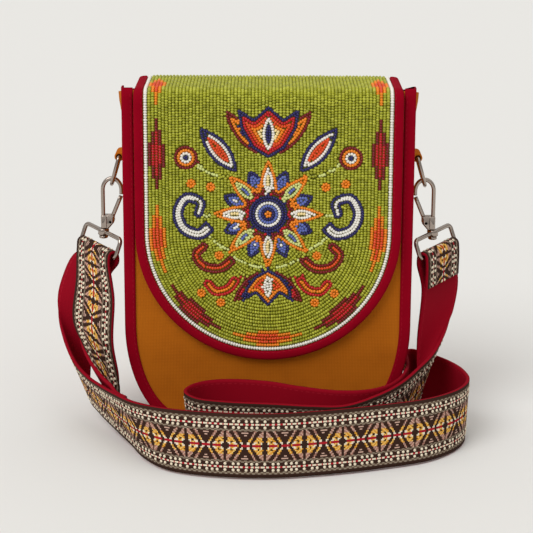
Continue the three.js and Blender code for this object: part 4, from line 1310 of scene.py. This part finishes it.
def add_strap_dots(at, middle, across, normal, look):
    repeats = np.arange(-1, int(at[-1] / REPEAT) + 1) * REPEAT
    u = (repeats[:, None] + DOT_PLACES).ravel()
    u = u[(u > DOT_MARGIN) & (u < at[-1] - DOT_MARGIN)]
    side = unit(interpolated(u, at, across))
    out = -unit(interpolated(u, at, normal))
    spots = interpolated(u, at, middle)[:, None] + DOT_ROWS[None, :, None] * side[:, None]
    turned, raised = squared_circle(DOT_SIDES, 1.0) * DOT_SIZE
    rings = [(r * turned, r * raised, 0 * turned + STRAP_THICK / 2 + lift) for r, lift in DOT_RINGS]
    points = np.concatenate([np.transpose(ring) for ring in rings])
    quads = grid_quads(len(DOT_RINGS), DOT_SIDES, closed_columns=True)
    tris = fan(range(DOT_SIDES), reverse=True) + fan(range(len(points) - DOT_SIDES, len(points)))
    ways = [np.repeat(way, len(DOT_ROWS), axis=0) for way in (np.cross(side, out), out)]
    dots = laid((points, quads, np.array(tris)), spots.reshape(-1, 3), *ways)
    place_piece(mesh_object("strap_dots", *dots, [look]))


def add_strap():
    at, middle, across, normal = strap_line()
    half, thick = STRAP_WIDTH / 2, STRAP_THICK / 2
    edges = np.concatenate([MOTIF_EDGES, BORDER_EDGES])
    woven = np.concatenate([-edges[:0:-1], edges])
    inner, outer = RED_SEAM - RED_SEAM_HALF, RED_SEAM + RED_SEAM_HALF
    red = np.array([-half, -outer, -inner, 0.0, inner, outer, half])
    rows, wide, narrow = len(at), len(woven), len(red)

    def face(columns, lift):
        points = middle[:, None] + columns[None, :, None] * across[:, None] + lift * normal[:, None]
        return points.reshape(-1, 3)

    # The woven face, the red face behind it, the rims between them and the two ends
    shift = rows * wide
    quads = [grid_quads(rows, wide), grid_quads(rows, narrow)[:, ::-1] + shift]
    r = np.arange(rows - 1)
    for a, b, way in ((0, 0, 1), (wide - 1, narrow - 1, -1)):
        o, i = r * wide + a, r * narrow + b + shift
        quads.append(np.stack([o, o + wide, i + narrow, i], -1)[:, ::way])
    ends = []
    for row in (0, rows - 1):
        loop = [row * wide + c for c in range(wide)]
        loop += [shift + row * narrow + c for c in range(narrow - 1, -1, -1)]
        ends += fan(loop, reverse=row > 0)
    u, v, red_v = ((values[:-1] + values[1:]) / 2 for values in (at, woven, red))
    gu, gv = np.meshgrid(u, red_v, indexing="ij")
    stitched = (np.abs(np.abs(gv) - RED_SEAM) < 0.1) & (np.mod(gu, RED_STITCH_PITCH) < RED_STITCH)
    stitch, plain_red = strap_names.index("stitch"), strap_names.index("backing")
    picks = [
        strap_colours(*np.meshgrid(u, v, indexing="ij")).ravel(),
        np.where(stitched, stitch, plain_red).ravel(),
        np.full(2 * (rows - 1) + len(ends), plain_red),
    ]
    materials = palette("strap_", STRAP_TONES, 0.85, 0.1)
    points = np.concatenate([face(woven, -thick), face(red, thick)])
    quads, picks = np.concatenate(quads), np.concatenate(picks)
    obj = mesh_object("strap_webbing", points, quads, ends, materials.values(), picks)
    place_piece(obj, ["strap"])
    add_strap_dots(at, middle, across, normal, materials["cream"])


# Nodes kept as modelled, their cloth rounded off


def dress_nodes():
    looks = {
        tab_canvas: (["left_tab", "right_tab"], 0.5),
        binding: (["mouth_binding", "flap_rear_hem"], 0.8),
        metal: (["left_gate_pin", "right_gate_pin"], None),
    }
    for material, (names, voxel) in looks.items():
        for name in names:
            mesh = nodes[name].data
            mesh.materials.clear()
            mesh.materials.append(material)
            if voxel:
                remesh = nodes[name].modifiers.new("soft_form", "REMESH")
                remesh.mode = "VOXEL"
                remesh.voxel_size = voxel / 1000
                remesh.use_smooth_shade = True
                smooth = nodes[name].modifiers.new("soft_edges", "SMOOTH")
                smooth.factor = 0.5
                smooth.iterations = 10


# Floor, light and camera


def add_stage():
    corners = np.array([(-1, -1, 0), (1, -1, 0), (1, 1, 0), (-1, 1, 0)]) * FLOOR_HALF
    paper = plain("floor", tone(229, 228, 225), 0.9, specular=0.1)
    mesh_object("floor", corners, [(0, 1, 2, 3)], (), [paper])
    world = bpy.data.worlds.new("studio")
    bpy.context.scene.world = world
    world.use_nodes = True
    sky = world.node_tree.nodes["Background"]
    sky.inputs["Color"].default_value = (1.0, 0.99, 0.97, 1.0)
    split = add_node(world, "SeparateXYZ")
    level = add_node(world, "MapRange", To_Min=0.35, To_Max=0.95)
    link(world, add_node(world, "TexCoord"), "Generated", split, "Vector")
    link(world, split, "Z", level, "Value")
    link(world, level, "Result", sky, "Strength")
    data = bpy.data.lights.new("key", "SUN")
    data.energy = 1.3
    data.angle = math.radians(35)
    lamp = bpy.data.objects.new("key", data)
    lamp.rotation_euler = Vector((0.9, 1.1, -1.5)).to_track_quat("-Z", "Y").to_euler()
    bpy.context.scene.collection.objects.link(lamp)


def add_camera():
    data = bpy.data.cameras.new("camera")
    data.lens = CAMERA_LENS
    data.sensor_width = 36.0
    data.clip_end = 100.0
    camera = bpy.data.objects.new("camera", data)
    at = Vector(CAMERA_AT) / 1000
    way = Vector(CAMERA_TARGET) / 1000 - at
    camera.location = at
    turn = way.to_track_quat("-Z", "Y").to_matrix() @ Matrix.Rotation(math.radians(CAMERA_ROLL), 3, "Z")
    camera.rotation_mode = "QUATERNION"
    camera.rotation_quaternion = turn.to_quaternion()
    bpy.context.scene.collection.objects.link(camera)
    bpy.context.scene.camera = camera
    bpy.context.scene.view_settings.view_transform = "Standard"


add_panels()
add_lining()
add_panel_bindings()
add_gusset()
add_flap_binding()
add_flap_lining()
add_flap_backing_and_painted_shade()
add_beads()
add_stitches()
add_hardware()
add_strap()
dress_nodes()
add_stage()
add_camera()
